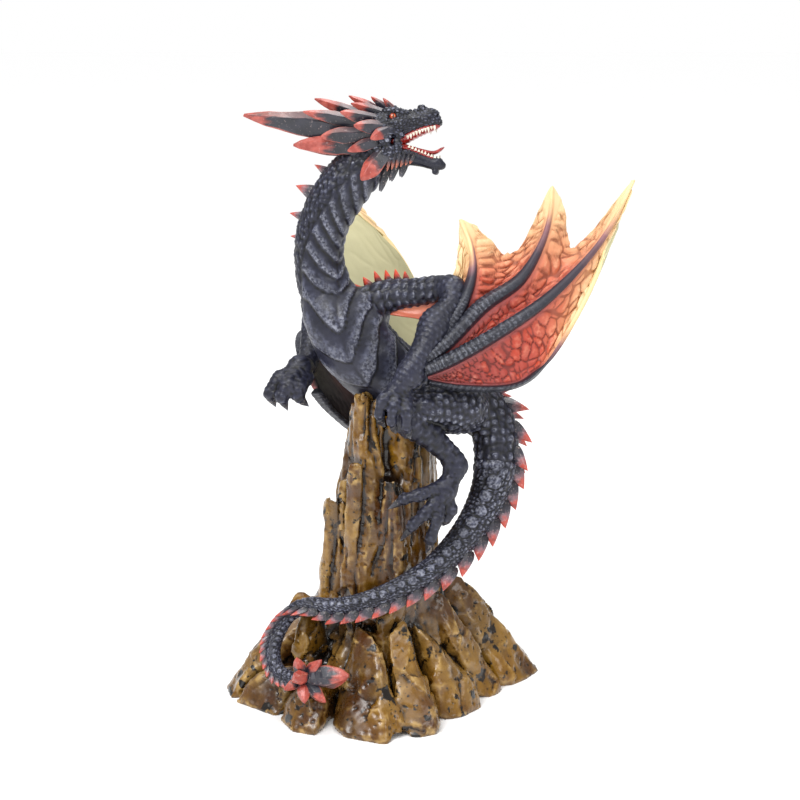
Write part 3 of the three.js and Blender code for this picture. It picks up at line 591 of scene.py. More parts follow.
class Field:
    """Signed distances to a shape on a grid of points, in millimetres, negative inside it."""

    def __init__(self, low: Iterable[float], high: Iterable[float], pitch: float) -> None:
        """An empty field over a box."""
        self.low = np.array(list(low), float)
        self.pitch = pitch
        counts = np.ceil((np.array(list(high), float) - self.low) / pitch).astype(int) + 1
        self.values = np.full(counts, FAR_AWAY, np.float32)

    def window(self, low: Array, high: Array) -> tuple[tuple[slice, ...], list[Array]]:
        """The part of the grid inside a box, and its coordinates ready to broadcast."""
        shape = np.array(self.values.shape)
        first = np.clip(np.floor((low - self.low) / self.pitch).astype(int), 0, shape)
        last = np.clip(np.ceil((high - self.low) / self.pitch).astype(int) + 1, first, shape)
        axes = [self.low[k] + self.pitch * np.arange(first[k], last[k]) for k in range(3)]
        shaped = [axes[0][:, None, None], axes[1][None, :, None], axes[2][None, None, :]]
        return tuple(slice(a, b) for a, b in zip(first, last)), [s.astype(np.float32) for s in shaped]

    def join(self, where: tuple[slice, ...], distance: Array, softness: float) -> None:
        """Adds a shape, blended over softness millimetres."""
        old = self.values[where]
        blend = np.maximum(softness - np.abs(old - distance), 0) / softness
        self.values[where] = np.minimum(old, distance) - blend * blend * softness * 0.25

    def carve(self, where: tuple[slice, ...], distance: Array, softness: float) -> None:
        """Takes a shape away, blended over softness millimetres."""
        old = self.values[where]
        blend = np.maximum(softness - np.abs(old + distance), 0) / softness
        self.values[where] = np.maximum(old, -distance) + blend * blend * softness * 0.25

    def tube(self, path: Path, start: float, end: float, softness: float = 3.0, step: float = 1.6) -> None:
        """Adds a limb with round ends.

        Args:
            path: its centreline and half sizes.
            start: its first station.
            end: its last station.
            softness: width of the blend into what is there already.
            step: length of its straight stretches.
        """
        frames = path.at(path.spaced(start, end, step))
        reach = max(frames.width.max(), frames.depth.max()) + FAR_AWAY
        whole, axes = self.window(frames.centre.min(axis=0) - reach, frames.centre.max(axis=0) + reach)
        limb = Field([axis.min() for axis in axes], [axis.max() for axis in axes], self.pitch)
        for k in range(len(frames.centre) - 1):
            one, other = frames.centre[k], frames.centre[k + 1]
            wide, deep = frames.width[k : k + 2], frames.depth[k : k + 2]
            around = max(wide.max(), deep.max()) + FAR_AWAY * 0.7
            where, (x, y, z) = limb.window(np.minimum(one, other) - around, np.maximum(one, other) + around)
            run = other - one
            share = ((x - one[0]) * run[0] + (y - one[1]) * run[1] + (z - one[2]) * run[2]) / (run @ run)
            share = np.clip(share, 0, 1)
            away = [axis - (one[n] + run[n] * share) for n, axis in enumerate((x, y, z))]
            sideways = sum(away[n] * frames.side[k][n] for n in range(3))
            backwards = sum(away[n] * frames.back[k][n] for n in range(3))
            width = wide[0] + (wide[1] - wide[0]) * share
            depth = deep[0] + (deep[1] - deep[0]) * share
            radius = 0.5 * (width + depth)
            square = sum(part * part for part in away)
            square = square + sideways**2 * ((radius / width) ** 2 - 1) + backwards**2 * ((radius / depth) ** 2 - 1)
            distance = np.sqrt(np.maximum(square, 0)) - radius
            limb.values[where] = np.minimum(limb.values[where], distance)
        shape = self.values[whole].shape
        self.join(whole, limb.values[: shape[0], : shape[1], : shape[2]], softness)

    def ball(
        self, centre: Sequence[float], radii: Sequence[float], softness: float = 1.5, carve: bool = False,
        turn: Sequence[float] = (0, 0, 0),
    ) -> None:
        """Adds or carves an ellipsoid.

        Args:
            centre: its centre.
            radii: its three half sizes.
            softness: width of the blend.
            carve: whether it is taken away.
            turn: its turn about the three axes, in degrees.
        """
        middle, sizes = np.array(centre, float), np.array(radii, float)
        axes = np.array(Euler([math.radians(a) for a in turn]).to_matrix()).T
        reach = sizes.max() + softness + 1.0
        where, grid = self.window(middle - reach, middle + reach)
        away = [grid[n] - middle[n] for n in range(3)]
        square = sum((sum(axes[m][n] * away[n] for n in range(3)) / sizes[m]) ** 2 for m in range(3))
        distance = (np.sqrt(square) - 1.0) * sizes.min()
        (self.carve if carve else self.join)(where, distance.astype(np.float32), softness)

    def lump(self, planes: Array, low: Array, high: Array, softness: float) -> None:
        """Adds a convex lump given by planes of a normal and a distance."""
        where, (x, y, z) = self.window(low - FAR_AWAY, high + FAR_AWAY)
        distance = np.full(self.values[where].shape, -np.inf, np.float32)
        for a, b, c, d in planes:
            distance = np.maximum(distance, a * x + b * y + c * z - d)
        self.join(where, distance, softness)

    def cut_below(self, height: float) -> None:
        """Cuts everything under a level flat."""
        z = self.low[2] + self.pitch * np.arange(self.values.shape[2])
        self.values = np.maximum(self.values, (height - z)[None, None, :].astype(np.float32))

    def skin(self) -> tuple[Array, Array]:
        """The surface of the shape as points and four-cornered faces, facing out."""
        volume = openvdb.FloatGrid(FAR_AWAY)
        volume.copyFromArray(np.ascontiguousarray(self.values))
        points, faces = volume.convertToQuads(isovalue=0.0)
        points = np.asarray(points, float) * self.pitch + self.low
        faces = np.asarray(faces, np.int64)
        return points, outward(points, faces)


@dataclass
class Reading:
    """Where points lie on a limb: how far outside its skin, how far along it and which way round."""

    outside: Array
    along: Array
    around: Array
    radius: Array
    points: Array


class Limb:
    """One limb of the figure and the scales that it wears."""

    def __init__(self, stations: Stations, start: float, end: float, scales: Callable[[Reading], Array]) -> None:
        """Samples the limb every millimetre.

        Args:
            stations: the limb's stations.
            start: first station to sample.
            end: last station to sample.
            scales: gives the height of its scales, in millimetres.
        """
        path = Path(stations)
        where = path.spaced(start, end, 1.0)
        self.frames = path.at(where)
        self.along = path.length_at(where)
        self.scales = scales

    def read(self, points: Array) -> Reading:
        """Measures points against the limb."""
        frames = self.frames
        radius = 0.5 * (frames.width + frames.depth)
        picked = np.empty(len(points), int)
        for first in range(0, len(points), 8192):
            part = points[first : first + 8192]
            square = (part**2).sum(1)[:, None] + (frames.centre**2).sum(1)[None] - 2 * part @ frames.centre.T
            picked[first : first + 8192] = np.argmin(np.sqrt(np.maximum(square, 0)) - radius, axis=1)
        away = points - frames.centre[picked]
        dot = lambda axis: np.einsum("ij,ij->i", away, axis[picked])
        along = self.along[picked] + np.clip(dot(frames.along), -1, 1)
        around = np.arctan2(dot(frames.side), dot(frames.back))
        return Reading(np.linalg.norm(away, axis=1) - radius[picked], along, around, radius[picked], points)


# ---------------------------------------------------------------- scales


def plate_rows(reading: Reading, pitch: Callable[[Array], Array], slant: Callable[[Array], Array]) -> Array:
    """Broad overlapping belly plates that meet in a chevron, from 0 in the grooves to 1 on the lips.

    Args:
        reading: where the points lie on the trunk.
        pitch: length of a plate at a distance along the trunk.
        slant: how far the plates sweep back from the middle at a distance along the trunk, in plates a radian.

    Returns:
        The height of the plates.
    """
    belly = np.abs((reading.around % (2 * math.pi)) - math.pi)
    fine = np.linspace(-30, 700, 1500)
    phase = np.cumsum((fine[1] - fine[0]) / pitch(fine))
    wobble = 0.12 * noise(reading.points / 9.0, 5)
    place = np.interp(reading.along, fine, phase) + slant(reading.along) * np.minimum(belly, 1.5) + wobble
    inside = place % 1.0
    lip = ramp(inside, 0.0, 0.9)
    groove = ramp(1.0 - inside, 0.0, 0.15)
    keel = 0.72 + 0.28 * ramp(belly * reading.radius, 0.2, 1.2)
    return (0.35 + 0.65 * lip) * groove * keel


class Trunk:
    """Scales of the neck, chest and back."""

    PLATE_EDGE = 1.72
    CHEST = 95.0
    HIPS = 168.0

    def pitch(self, along: Array) -> Array:
        """Length of a belly plate: short on the neck and long on the chest."""
        return 8.0 + 5.0 * ramp(along, 50, self.CHEST + 10)

    def slant(self, along: Array) -> Array:
        """Sweep of the belly plates: steep on the neck and gentler on the chest."""
        return 1.35 - 0.4 * ramp(along, 50, self.CHEST)

    def __call__(self, reading: Reading) -> Array:
        """The height of the trunk's scales, in millimetres."""
        belly = np.abs((reading.around % (2 * math.pi)) - math.pi)
        plates = plate_rows(reading, self.pitch, self.slant)
        pores = 0.1 * rough(reading.points / 2.2, 2, 3)
        pebbles = domes(reading.points / 2.3, 4)
        on_belly = ramp(self.PLATE_EDGE - belly, 0.0, 0.1) * ramp(self.HIPS - reading.along, 0, 12)
        border = 1.0 - 0.8 * np.exp(-(((belly - self.PLATE_EDGE + 0.05) * reading.radius / 0.7) ** 2))
        big = domes(reading.points / 4.2, 14, 0.6)
        rear = ramp(reading.along, self.HIPS - 30, self.HIPS + 10)
        back = 1.1 * pebbles * (1 - rear) + (1.15 * big + 0.15 * pebbles) * rear
        return (on_belly * (1.5 * plates + pores) + (1 - on_belly) * back) * border


class ArmScales:
    """Long feathery scales on the upper arm and rope-like rows on the forearm."""

    def __init__(self, elbow: float) -> None:
        """Keeps the distance from the shoulder to the elbow."""
        self.elbow = elbow

    def __call__(self, reading: Reading) -> Array:
        """The height of the arm's scales, in millimetres."""
        turn = reading.around / (2 * math.pi)
        sway = 0.25 * noise(reading.points / 4.0, 8)
        upper = bricks(reading.along / 4.3 + sway, turn * 9 + 0.35 * reading.along / 4.3, 0.7)
        lower = bricks(reading.along / 2.5 + 0.5 * sway, turn * 13, 0.6)
        fine = 0.35 * domes(reading.points / 1.3, 6)
        bend = ramp(reading.along, self.elbow - 6, self.elbow + 4)
        return (1.25 * upper + fine * 0.5) * (1 - bend) + (0.95 * lower + fine * 0.4) * bend


class LegScales:
    """Pebbles on the thigh, transverse bands on the shin and small pebbles below."""

    def __init__(self, knee: float, heel: float) -> None:
        """Keeps the distances from the hip to the knee and to the heel."""
        self.knee = knee
        self.heel = heel

    def __call__(self, reading: Reading) -> Array:
        """The height of the leg's scales, in millimetres."""
        turn = reading.around / (2 * math.pi)
        thigh = 1.15 * domes(reading.points / 3.4, 9, 0.8) + 0.15 * domes(reading.points / 1.2, 10)
        shin = 1.0 * bricks(reading.along / 3.3, turn * 4, 0.7)
        foot = 0.8 * domes(reading.points / 1.9, 11)
        low = ramp(reading.along, self.knee - 5, self.knee + 5)
        end = ramp(reading.along, self.heel - 5, self.heel + 4)
        return thigh * (1 - low) + shin * low * (1 - end) + foot * end


def digit_scales(reading: Reading) -> Array:
    """The height of the small overlapping scales on fingers and toes, in millimetres."""
    turn = reading.around / (2 * math.pi)
    rows = bricks(reading.along / 2.1, turn * 5, 0.7)
    return 0.85 * rows + 0.1 * noise(reading.points / 0.8, 2)


class Hide:
    """The neck, trunk, limbs and digits as one skin with its scales."""

    PITCH = 0.78
    BOX = ((-70, -48, 78), (78, 54, 292))
    TAIL_ROOT = 12.35
    # Muscles, joints and knuckles: centre, half sizes, blend.
    SWELLINGS = [
        [(-9, -2, 196), (11, 10, 10), 6], [(35, -12.5, 208.5), (6.5, 6, 7), 3], [(15, -31, 171), (6.5, 5, 7), 3],
        [(26, -22, 192), (7, 6, 9), 5], [(36, -10, 149), (15, 13, 12), 7], [(15, -25, 147), (7.5, 6, 8), 3],
        [(37, -25.5, 124), (6, 5.5, 6), 3], [(32, -30, 112.5), (6, 5, 5.5), 3], [(-40, -1, 168), (6.5, 5.5, 6), 3],
        [(-27, 40, 209), (6.5, 6, 6.5), 3], [(30, 30, 148), (12, 9, 11), 6], [(28, 36, 122), (5.5, 5, 5.5), 3],
        [(-16, 8, 192), (9, 10, 9), 5],
    ]

    def __init__(self, finish: bpy.types.Material, claw: bpy.types.Material) -> None:
        """Keeps the finishes and lists the limbs."""
        self.finish = finish
        self.claw = claw
        self.digits = NEAR_HAND + FAR_HAND + NEAR_FOOT + FAR_FOOT
        spans = [
            Limb(SPINE, 0.0, self.TAIL_ROOT + 0.4, Trunk()),
            Limb(NEAR_ARM, 0.4, 6, ArmScales(46)),
            Limb(FAR_ARM, 0.4, 5, ArmScales(44)),
            Limb(NEAR_LEG, 0.6, 5, LegScales(43, 74)),
            Limb(FAR_LEG, 0.6, 5, LegScales(40, 70)),
        ]
        self.limbs = spans + [Limb(self.stations(digit), 0, 2.6, digit_scales) for digit in self.digits]

    @staticmethod
    def stations(digit: Sequence[Sequence[float]]) -> Stations:
        """A digit as the stations of a path."""
        return [[[x, y, z], [r, r], [0.2, 0.1, 1]] for x, y, z, r in digit]

    def shape(self) -> Field:
        """The plain form under the scales."""
        made = Field(*self.BOX, self.PITCH)
        made.tube(Path(SPINE), 0.0, self.TAIL_ROOT, 3.0, 2.2)
        tucked = Path([[row[0], [row[1][0] * 0.72, row[1][1] * 0.72], row[2]] for row in SPINE])
        made.tube(tucked, self.TAIL_ROOT, self.TAIL_ROOT + 0.5, 2.0, 2.2)
        for stations in (NEAR_ARM, FAR_ARM, NEAR_LEG, FAR_LEG):
            made.tube(Path(stations), 0, len(stations) - 1, 5.0)
        for centre, radii, softness in self.SWELLINGS:
            made.ball(centre, radii, softness)
        for digit in self.digits:
            made.tube(Path(self.stations(digit)), 0, 2.5, 1.6, 1.2)
            for x, y, z, r in digit[1:3]:
                made.ball((x, y, z), (r * 1.18,) * 3, 1.4)
        return made

    def build(self) -> list[bpy.types.Object]:
        """Makes the skin and its claws."""
        points, faces = self.shape().skin()
        normals = normals_of(points, faces)
        readings = [limb.read(points) for limb in self.limbs]
        owner = np.argmin(np.array([reading.outside for reading in readings]), axis=0)
        height = np.zeros(len(points))
        for number, (limb, reading) in enumerate(zip(self.limbs, readings)):
            mine = owner == number
            if mine.any():
                parts = Reading(*(getattr(reading, key)[mine] for key in ("outside", "along", "around", "radius", "points")))
                height[mine] = limb.scales(parts)
        height = smoothed(height, faces, 2)
        raised = points + normals * (height - 0.55)[:, None]
        bent = normals_of(raised, faces)
        layers = {
            "relief": np.clip(height / 1.15, 0, 1),
            "hollow": hollow_of(raised, faces, bent, 8, 0.5),
        }
        skin = new_piece("body_skin", raised, faces, self.finish, layers)
        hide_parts(BODY_NODE)
        return [skin, self.claws()]

    def claws(self) -> bpy.types.Object:
        """The curved claws at the ends of the digits."""
        roots = []
        for digit in self.digits:
            frames = Path(self.stations(digit)).at([2.25, 3.0])
            aim = frames.centre[1] + frames.along[1] * 1.2 - frames.centre[0]
            bend = np.cross(np.cross(frames.along[0], aim), aim)
            roots.append(SpikeRoot(frames.centre[0], aim, -bend, float(np.linalg.norm(aim)), 2.4, 2.1))
        return SpikeRow("claws", self.claw, roots, spike_shape(bend=0.28, power=0.75)).build()


class Tail:
    """The tail from the hips to the club, with rows of domes along its sides."""

    START = 11.9
    PITCH = 0.78
    SIDES = 92
    DOME_PITCH = 10.2

    def __init__(self, finish: bpy.types.Material) -> None:
        """Keeps the finish and the tail's rings."""
        self.finish = finish
        self.path = Path(SPINE)
        self.where = self.path.spaced(self.START, self.path.last, self.PITCH)
        self.frames = self.path.at(self.where)
        self.along = self.path.length_at(self.where)
        self.girth = np.maximum(self.frames.width / 10.8, 0.3)
        self.table = (self.along, np.concatenate([[0], np.cumsum(np.diff(self.along) / self.girth[1:])]))

    def scales(self, along: Array, around: Array, radius: Array) -> Array:
        """The height of the tail's scales, in millimetres."""
        girth = radius / 10.8
        stretch = np.interp(along, *self.table)
        flat = np.stack([stretch, around * 10.8, np.full_like(around, 1.5)], axis=1)
        pebbles = domes(flat / 3.1, 21, 0.85)
        row = stretch / self.DOME_PITCH
        wave = (row % 1.0 - 0.5) * self.DOME_PITCH
        sideways = (np.abs(around) - math.pi / 2) * 10.8 + 1.2 * np.sin(np.floor(row) * 2.4)
        size = 4.2 + 0.35 * np.sin(np.floor(row) * 1.9)
        inside = np.clip(1.0 - (wave**2 + sideways**2) / size**2, 0, 1)
        dome = np.sqrt(inside)
        ring = ramp(np.abs(np.sqrt(wave**2 + sideways**2) - size - 0.25), 0.0, 0.5)
        mixed = np.where(inside > 0, 0.5 + 1.15 * dome, pebbles * 1.0) * ring
        belly = np.abs((around % (2 * math.pi)) - math.pi)
        bands = 0.5 * ramp(np.abs((stretch / 4.5) % 1.0 - 0.5), 0.03, 0.2)
        under = ramp(0.62 - belly, 0, 0.12)
        return (mixed * (1 - under) + bands * under) * (0.25 + 0.6 * girth)

    def build(self) -> bpy.types.Object:
        """Makes the tail."""
        where, frames, along, girth = self.where, self.frames, self.along, self.girth
        turn = 2 * math.pi * np.arange(self.SIDES) / self.SIDES
        rows = len(where)
        out = frames.back[:, None] * np.cos(turn)[None, :, None] + frames.side[:, None] * np.sin(turn)[None, :, None]
        spread = np.repeat(along, self.SIDES)
        around = np.tile((turn + math.pi) % (2 * math.pi) - math.pi, rows)
        height = self.scales(spread, around, np.repeat(frames.width, self.SIDES)).reshape(rows, self.SIDES)
        shrink = 1.0 - 0.45 * ramp(0.3 - (where - self.START), 0, 0.3)
        size = (frames.width * shrink)[:, None] + height - 0.3 * girth[:, None]
        points = (frames.centre[:, None] + out * size[..., None]).reshape(-1, 3)
        points, faces = capped(points, rows, self.SIDES)
        faces = outward(points, faces)
        normals = normals_of(points, faces)
        layers = {
            "relief": np.append(np.clip(height.ravel() / 0.75 / np.repeat(0.25 + 0.75 * girth, self.SIDES), 0, 1), [0, 0]),
            "hollow": hollow_of(points, faces, normals, 10, 0.5),
        }
        made = new_piece("tail_skin", points, triangles(faces), self.finish, layers)
        log.info("tail_skin: %d rings of %d", rows, self.SIDES)
        return made


# ---------------------------------------------------------------- spikes


@dataclass
class SpikeRoot:
    """One spike: its root, the way it points, the way it curves, its length and its two half widths."""

    root: Array
    aim: Array
    lean: Array
    length: float
    along: float
    across: float


def spike_shape(bend: float = 0.18, power: float = 0.9, sides: int = 10, rings: int = 9) -> bpy.types.Object:
    """A single keeled spike of height one, with a number from 0 at its root to 1 at its tip.

    Args:
        bend: how far its tip curves over.
        power: below one for a full leaf, above one for a thorn.
        sides: corners of its section.
        rings: rings from root to tip.

    Returns:
        The object, which is removed after use.
    """
    share = np.linspace(0, 1, rings)[:, None]
    turn = 2 * math.pi * np.arange(sides) / sides
    keel = 1.0 / (np.abs(np.cos(turn)) + np.abs(np.sin(turn))) ** 0.7
    size = np.maximum((1 - share) ** power * (1 + 0.35 * np.sin(math.pi * share**0.7)), 0.03)
    x = size * keel * np.cos(turn) + bend * share**2
    y = size * keel * np.sin(turn)
    z = np.repeat(share, sides, axis=1)
    points, faces = capped(np.stack([x, y, z], axis=-1).reshape(-1, 3), rings, sides)
    mesh = bpy.data.meshes.new("spike_shape")
    mesh.from_pydata(points.tolist(), [], triangles(outward(points, faces)).tolist())
    layer = mesh.attributes.new("tip", "FLOAT", "POINT")
    layer.data.foreach_set("value", points[:, 2].astype(np.float32))
    mesh.update()
    return bpy.data.objects.new("spike_shape", mesh)


def spike_tree() -> bpy.types.NodeTree:
    """The node tree that sets one spike on every root, made once."""
    name = "Spikes on roots"
    if name in bpy.data.node_groups:
        return bpy.data.node_groups[name]
    tree = bpy.data.node_groups.new(name, "GeometryNodeTree")
    sockets = tree.interface
    sockets.new_socket("Roots", in_out="INPUT", socket_type="NodeSocketGeometry")
    sockets.new_socket("Shape", in_out="INPUT", socket_type="NodeSocketObject")
    sockets.new_socket("Finish", in_out="INPUT", socket_type="NodeSocketMaterial")
    for label, value in (("Length", 1.0), ("Girth", 1.0), ("Unevenness", 0.06)):
        sockets.new_socket(label, in_out="INPUT", socket_type="NodeSocketFloat").default_value = value
    sockets.new_socket("Seed", in_out="INPUT", socket_type="NodeSocketInt").default_value = 1
    sockets.new_socket("Spikes", in_out="OUTPUT", socket_type="NodeSocketGeometry")
    nodes, links = tree.nodes, tree.links
    source = nodes.new("NodeGroupInput")
    shape = nodes.new("GeometryNodeObjectInfo")
    links.new(source.outputs["Shape"], shape.inputs["Object"])
    axes = nodes.new("FunctionNodeAxesToRotation")
    axes.primary_axis = "Z"
    axes.secondary_axis = "X"
    for key, socket in (("aim", "Primary Axis"), ("lean", "Secondary Axis")):
        reader = nodes.new("GeometryNodeInputNamedAttribute")
        reader.data_type = "FLOAT_VECTOR"
        reader.inputs["Name"].default_value = key
        links.new(reader.outputs["Attribute"], axes.inputs[socket])
    size = nodes.new("GeometryNodeInputNamedAttribute")
    size.data_type = "FLOAT_VECTOR"
    size.inputs["Name"].default_value = "size"
    scale = nodes.new("ShaderNodeCombineXYZ")
    for axis, label in (("X", "Girth"), ("Y", "Girth"), ("Z", "Length")):
        links.new(source.outputs[label], scale.inputs[axis])
    chance = nodes.new("FunctionNodeRandomValue")
    chance.data_type = "FLOAT_VECTOR"
    links.new(source.outputs["Seed"], chance.inputs["Seed"])
    for socket, sign in (("Min", -1.0), ("Max", 1.0)):
        step = nodes.new("ShaderNodeMath")
        step.operation = "MULTIPLY_ADD"
        step.inputs[1].default_value = sign
        step.inputs[2].default_value = 1.0
        links.new(source.outputs["Unevenness"], step.inputs[0])
        links.new(step.outputs["Value"], chance.inputs[socket])
    first, second = nodes.new("ShaderNodeVectorMath"), nodes.new("ShaderNodeVectorMath")
    first.operation = second.operation = "MULTIPLY"
    links.new(size.outputs["Attribute"], first.inputs[0])
    links.new(scale.outputs["Vector"], first.inputs[1])
    links.new(first.outputs["Vector"], second.inputs[0])
    links.new(chance.outputs["Value"], second.inputs[1])
    place = nodes.new("GeometryNodeInstanceOnPoints")
    links.new(source.outputs["Roots"], place.inputs["Points"])
    links.new(shape.outputs["Geometry"], place.inputs["Instance"])
    links.new(axes.outputs["Rotation"], place.inputs["Rotation"])
    links.new(second.outputs["Vector"], place.inputs["Scale"])
    solid = nodes.new("GeometryNodeRealizeInstances")
    dressed = nodes.new("GeometryNodeSetMaterial")
    sink = nodes.new("NodeGroupOutput")
    links.new(place.outputs["Instances"], solid.inputs["Geometry"])
    links.new(solid.outputs["Geometry"], dressed.inputs["Geometry"])
    links.new(source.outputs["Finish"], dressed.inputs["Material"])
    links.new(dressed.outputs["Geometry"], sink.inputs["Spikes"])
    return tree


class SpikeRow:
    """Spikes, claws, teeth or ribs set on their roots."""

    def __init__(
        self, name: str, finish: bpy.types.Material, roots: list[SpikeRoot], shape: bpy.types.Object,
        unevenness: float = 0.06, seed: int = 1,
    ) -> None:
        """Keeps what the row is made of.

        Args:
            name: the piece's name.
            finish: its finish.
            roots: one for each spike.
            shape: a single spike of height one.
            unevenness: how much the sizes vary.
            seed: seed of the variation.
        """
        self.name = name
        self.finish = finish
        self.roots = roots
        self.shape = shape
        self.unevenness = unevenness
        self.seed = seed

    def build(self) -> bpy.types.Object:
        """Makes the row as one plain mesh."""
        mesh = bpy.data.meshes.new(self.name + "_roots")
        mesh.from_pydata([tuple(np.asarray(root.root) * MM) for root in self.roots], [], [])
        table = {
            "aim": [unit(np.asarray(root.aim, float)) for root in self.roots],
            "lean": [unit(np.asarray(root.lean, float)) for root in self.roots],
            "size": [np.array([root.along, root.across, root.length]) * MM for root in self.roots],
        }
        for key, values in table.items():
            layer = mesh.attributes.new(key, "FLOAT_VECTOR", "POINT")
            layer.data.foreach_set("vector", np.array(values, np.float32).ravel())
        roots = bpy.data.objects.new(self.name + "_roots", mesh)
        bpy.context.collection.objects.link(roots)
        tree = spike_tree()
        modifier = roots.modifiers.new("Spikes", "NODES")
        modifier.node_group = tree
        values = {"Shape": self.shape, "Finish": self.finish, "Unevenness": self.unevenness, "Seed": self.seed}
        for item in tree.interface.items_tree:
            if item.in_out == "INPUT" and item.name in values:
                modifier[item.identifier] = values[item.name]
        result = roots.evaluated_get(bpy.context.evaluated_depsgraph_get())
        plain = bpy.data.meshes.new_from_object(result)
        plain.name = self.name
        roots.modifiers.clear()
        bpy.data.objects.remove(roots)
        bpy.data.objects.remove(self.shape)
        plain.polygons.foreach_set("use_smooth", np.zeros(len(plain.polygons), bool))
        made = bpy.data.objects.new(self.name, plain)
        bpy.context.collection.objects.link(made)
        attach(made, "root")
        log.info("%s: %d spikes", self.name, len(self.roots))
        return made


@dataclass
class BackRow:
    """A row of spikes on the back of a path."""

    first: float
    last: float
    count: int
    length: float
    width: float
    lean: float
    taper: tuple[float, ...]
    turns: tuple[float, ...] = (0.0,)
    crowding: float = 1.0

    def roots(self, path: Path) -> list[SpikeRoot]:
        """The roots of the row on a path."""
        made = []
        for share in np.linspace(0, 1, self.count):
            place = 1 - (1 - share) ** self.crowding
            frames = path.at([self.first + place * (self.last - self.first)])
            scale = float(np.interp(share, np.linspace(0, 1, len(self.taper)), self.taper))
            centre, along, side, back, depth = (
                frames.centre[0], frames.along[0], frames.side[0], frames.back[0], frames.depth[0],
            )
            for turn in self.turns:
                out = back * math.cos(turn) + side * math.sin(turn)
                foot = centre + out * depth * 0.72
                tip = centre + out * (depth + self.length * scale * math.cos(self.lean))
                tip = tip + along * self.length * scale * math.sin(self.lean)
                aim = tip - foot
                width = self.width * scale
                made.append(SpikeRoot(foot, aim, along, float(np.linalg.norm(aim)), width * 1.25, width * 0.85))
        return made


# ---------------------------------------------------------------- blades


def blade_mesh(
    root: Array, tip: Array, root_width: float, width: float, thickness: float, widest: float, seed: int,
    keel: float, bevel: float, rings: int = 12,
) -> tuple[Array, Array, Array, Array]:
    """A faceted blade: a keeled flat diamond that widens from its root and ends in a chisel.

    Args:
        root: the middle of its root.
        tip: its tip.
        root_width: width at the root.
        width: width at its widest.
        thickness: thickness along the keel.
        widest: place of the widest part, from 0 at the root to 1 at the tip.
        seed: seed of its unevenness.
        keel: place of the keel, from -1 at the lower edge to 1 at the upper.
        bevel: half width of the flat on the keel.
        rings: rings from root to tip.

    Returns:
        Its points, its triangles, and for each point 0 at the root to 1 at the tip and 0 at the lower edge to 1
        at the upper.
    """
    run = tip - root
    flat = unit(np.cross([0.0, 1.0, 0.0], run))
    face = unit(np.cross(run, flat))
    share = np.linspace(0.0, 1.0, rings)
    shoulder = width * (0.25 + 0.5 * widest)
    spread = np.interp(share, [0, widest, 0.88, 1.0], [root_width, width, shoulder, width * 0.12]) / 2
    deep = np.interp(share, [0, widest, 0.88, 1.0], [thickness, thickness, thickness * 0.7, thickness * 0.2]) / 2
    section = np.array([
        [1, 0.1], [keel + bevel, 1], [keel - bevel, 1], [-1, 0.1],
        [-1, -0.1], [keel - bevel, -1], [keel + bevel, -1], [1, -0.1],
    ])
    sides = len(section)
    points = root + run * share[:, None, None] + (
        flat * (section[:, 0] * spread[:, None])[..., None] + face * (section[:, 1] * deep[:, None])[..., None]
    )
    points = points.reshape(-1, 3)
    wobble = np.stack([noise(points / 5.0, seed + k) for k in range(3)], axis=1)
    points = points + wobble * 0.05 * width
    tip_share = np.repeat(share, sides)
    edge = np.tile(0.5 + 0.5 * section[:, 0], rings)
    points, faces = capped(points, rings, sides)
    return points, triangles(outward(points, faces)), np.append(tip_share, [0, 1]), np.append(edge, [0.5, 0.5])


def mirrored(row: Sequence) -> list:
    """A near-side blade as the far-side one."""
    root, tip, *sizes = row
    return [[root[0], -root[1], root[2]], [tip[0], -tip[1], tip[2]], *sizes]


def blades_piece(
    name: str, rows: list, place: Callable[[Array], Array], finish: bpy.types.Material, keel: float = 0.3,
    bevel: float = 0.06,
) -> bpy.types.Object:
    """Several blades as one mesh.

    Args:
        name: the piece's name.
        rows: root, tip, root width, widest, thickness and place of the widest.
        place: moves points from the blades' frame to the figure's.
        finish: their finish.
        keel: place of the keels, from -1 at the lower edge to 1 at the upper.
        bevel: half width of the flat on the keels.

    Returns:
        The object.
    """
    points, faces, tips, edges, rises = [], [], [], [], []
    count = 0
    for number, (root, tip, root_width, width, thickness, widest) in enumerate(rows):
        mesh = blade_mesh(
            np.array(root, float), np.array(tip, float), root_width, width, thickness, widest, number, keel, bevel,
        )
        points.append(place(mesh[0]))
        faces.append(mesh[1] + count)
        tips.append(mesh[2])
        edges.append(mesh[3])
        rises.append(np.full(len(mesh[0]), (number * 0.27) % 1.0))
        count += len(mesh[0])
    layers = {"tip": np.concatenate(tips), "edge": np.concatenate(edges), "chance": np.concatenate(rises)}
    return new_piece(name, np.vstack(points), np.vstack(faces), finish, layers, smooth=False)


# ---------------------------------------------------------------- head


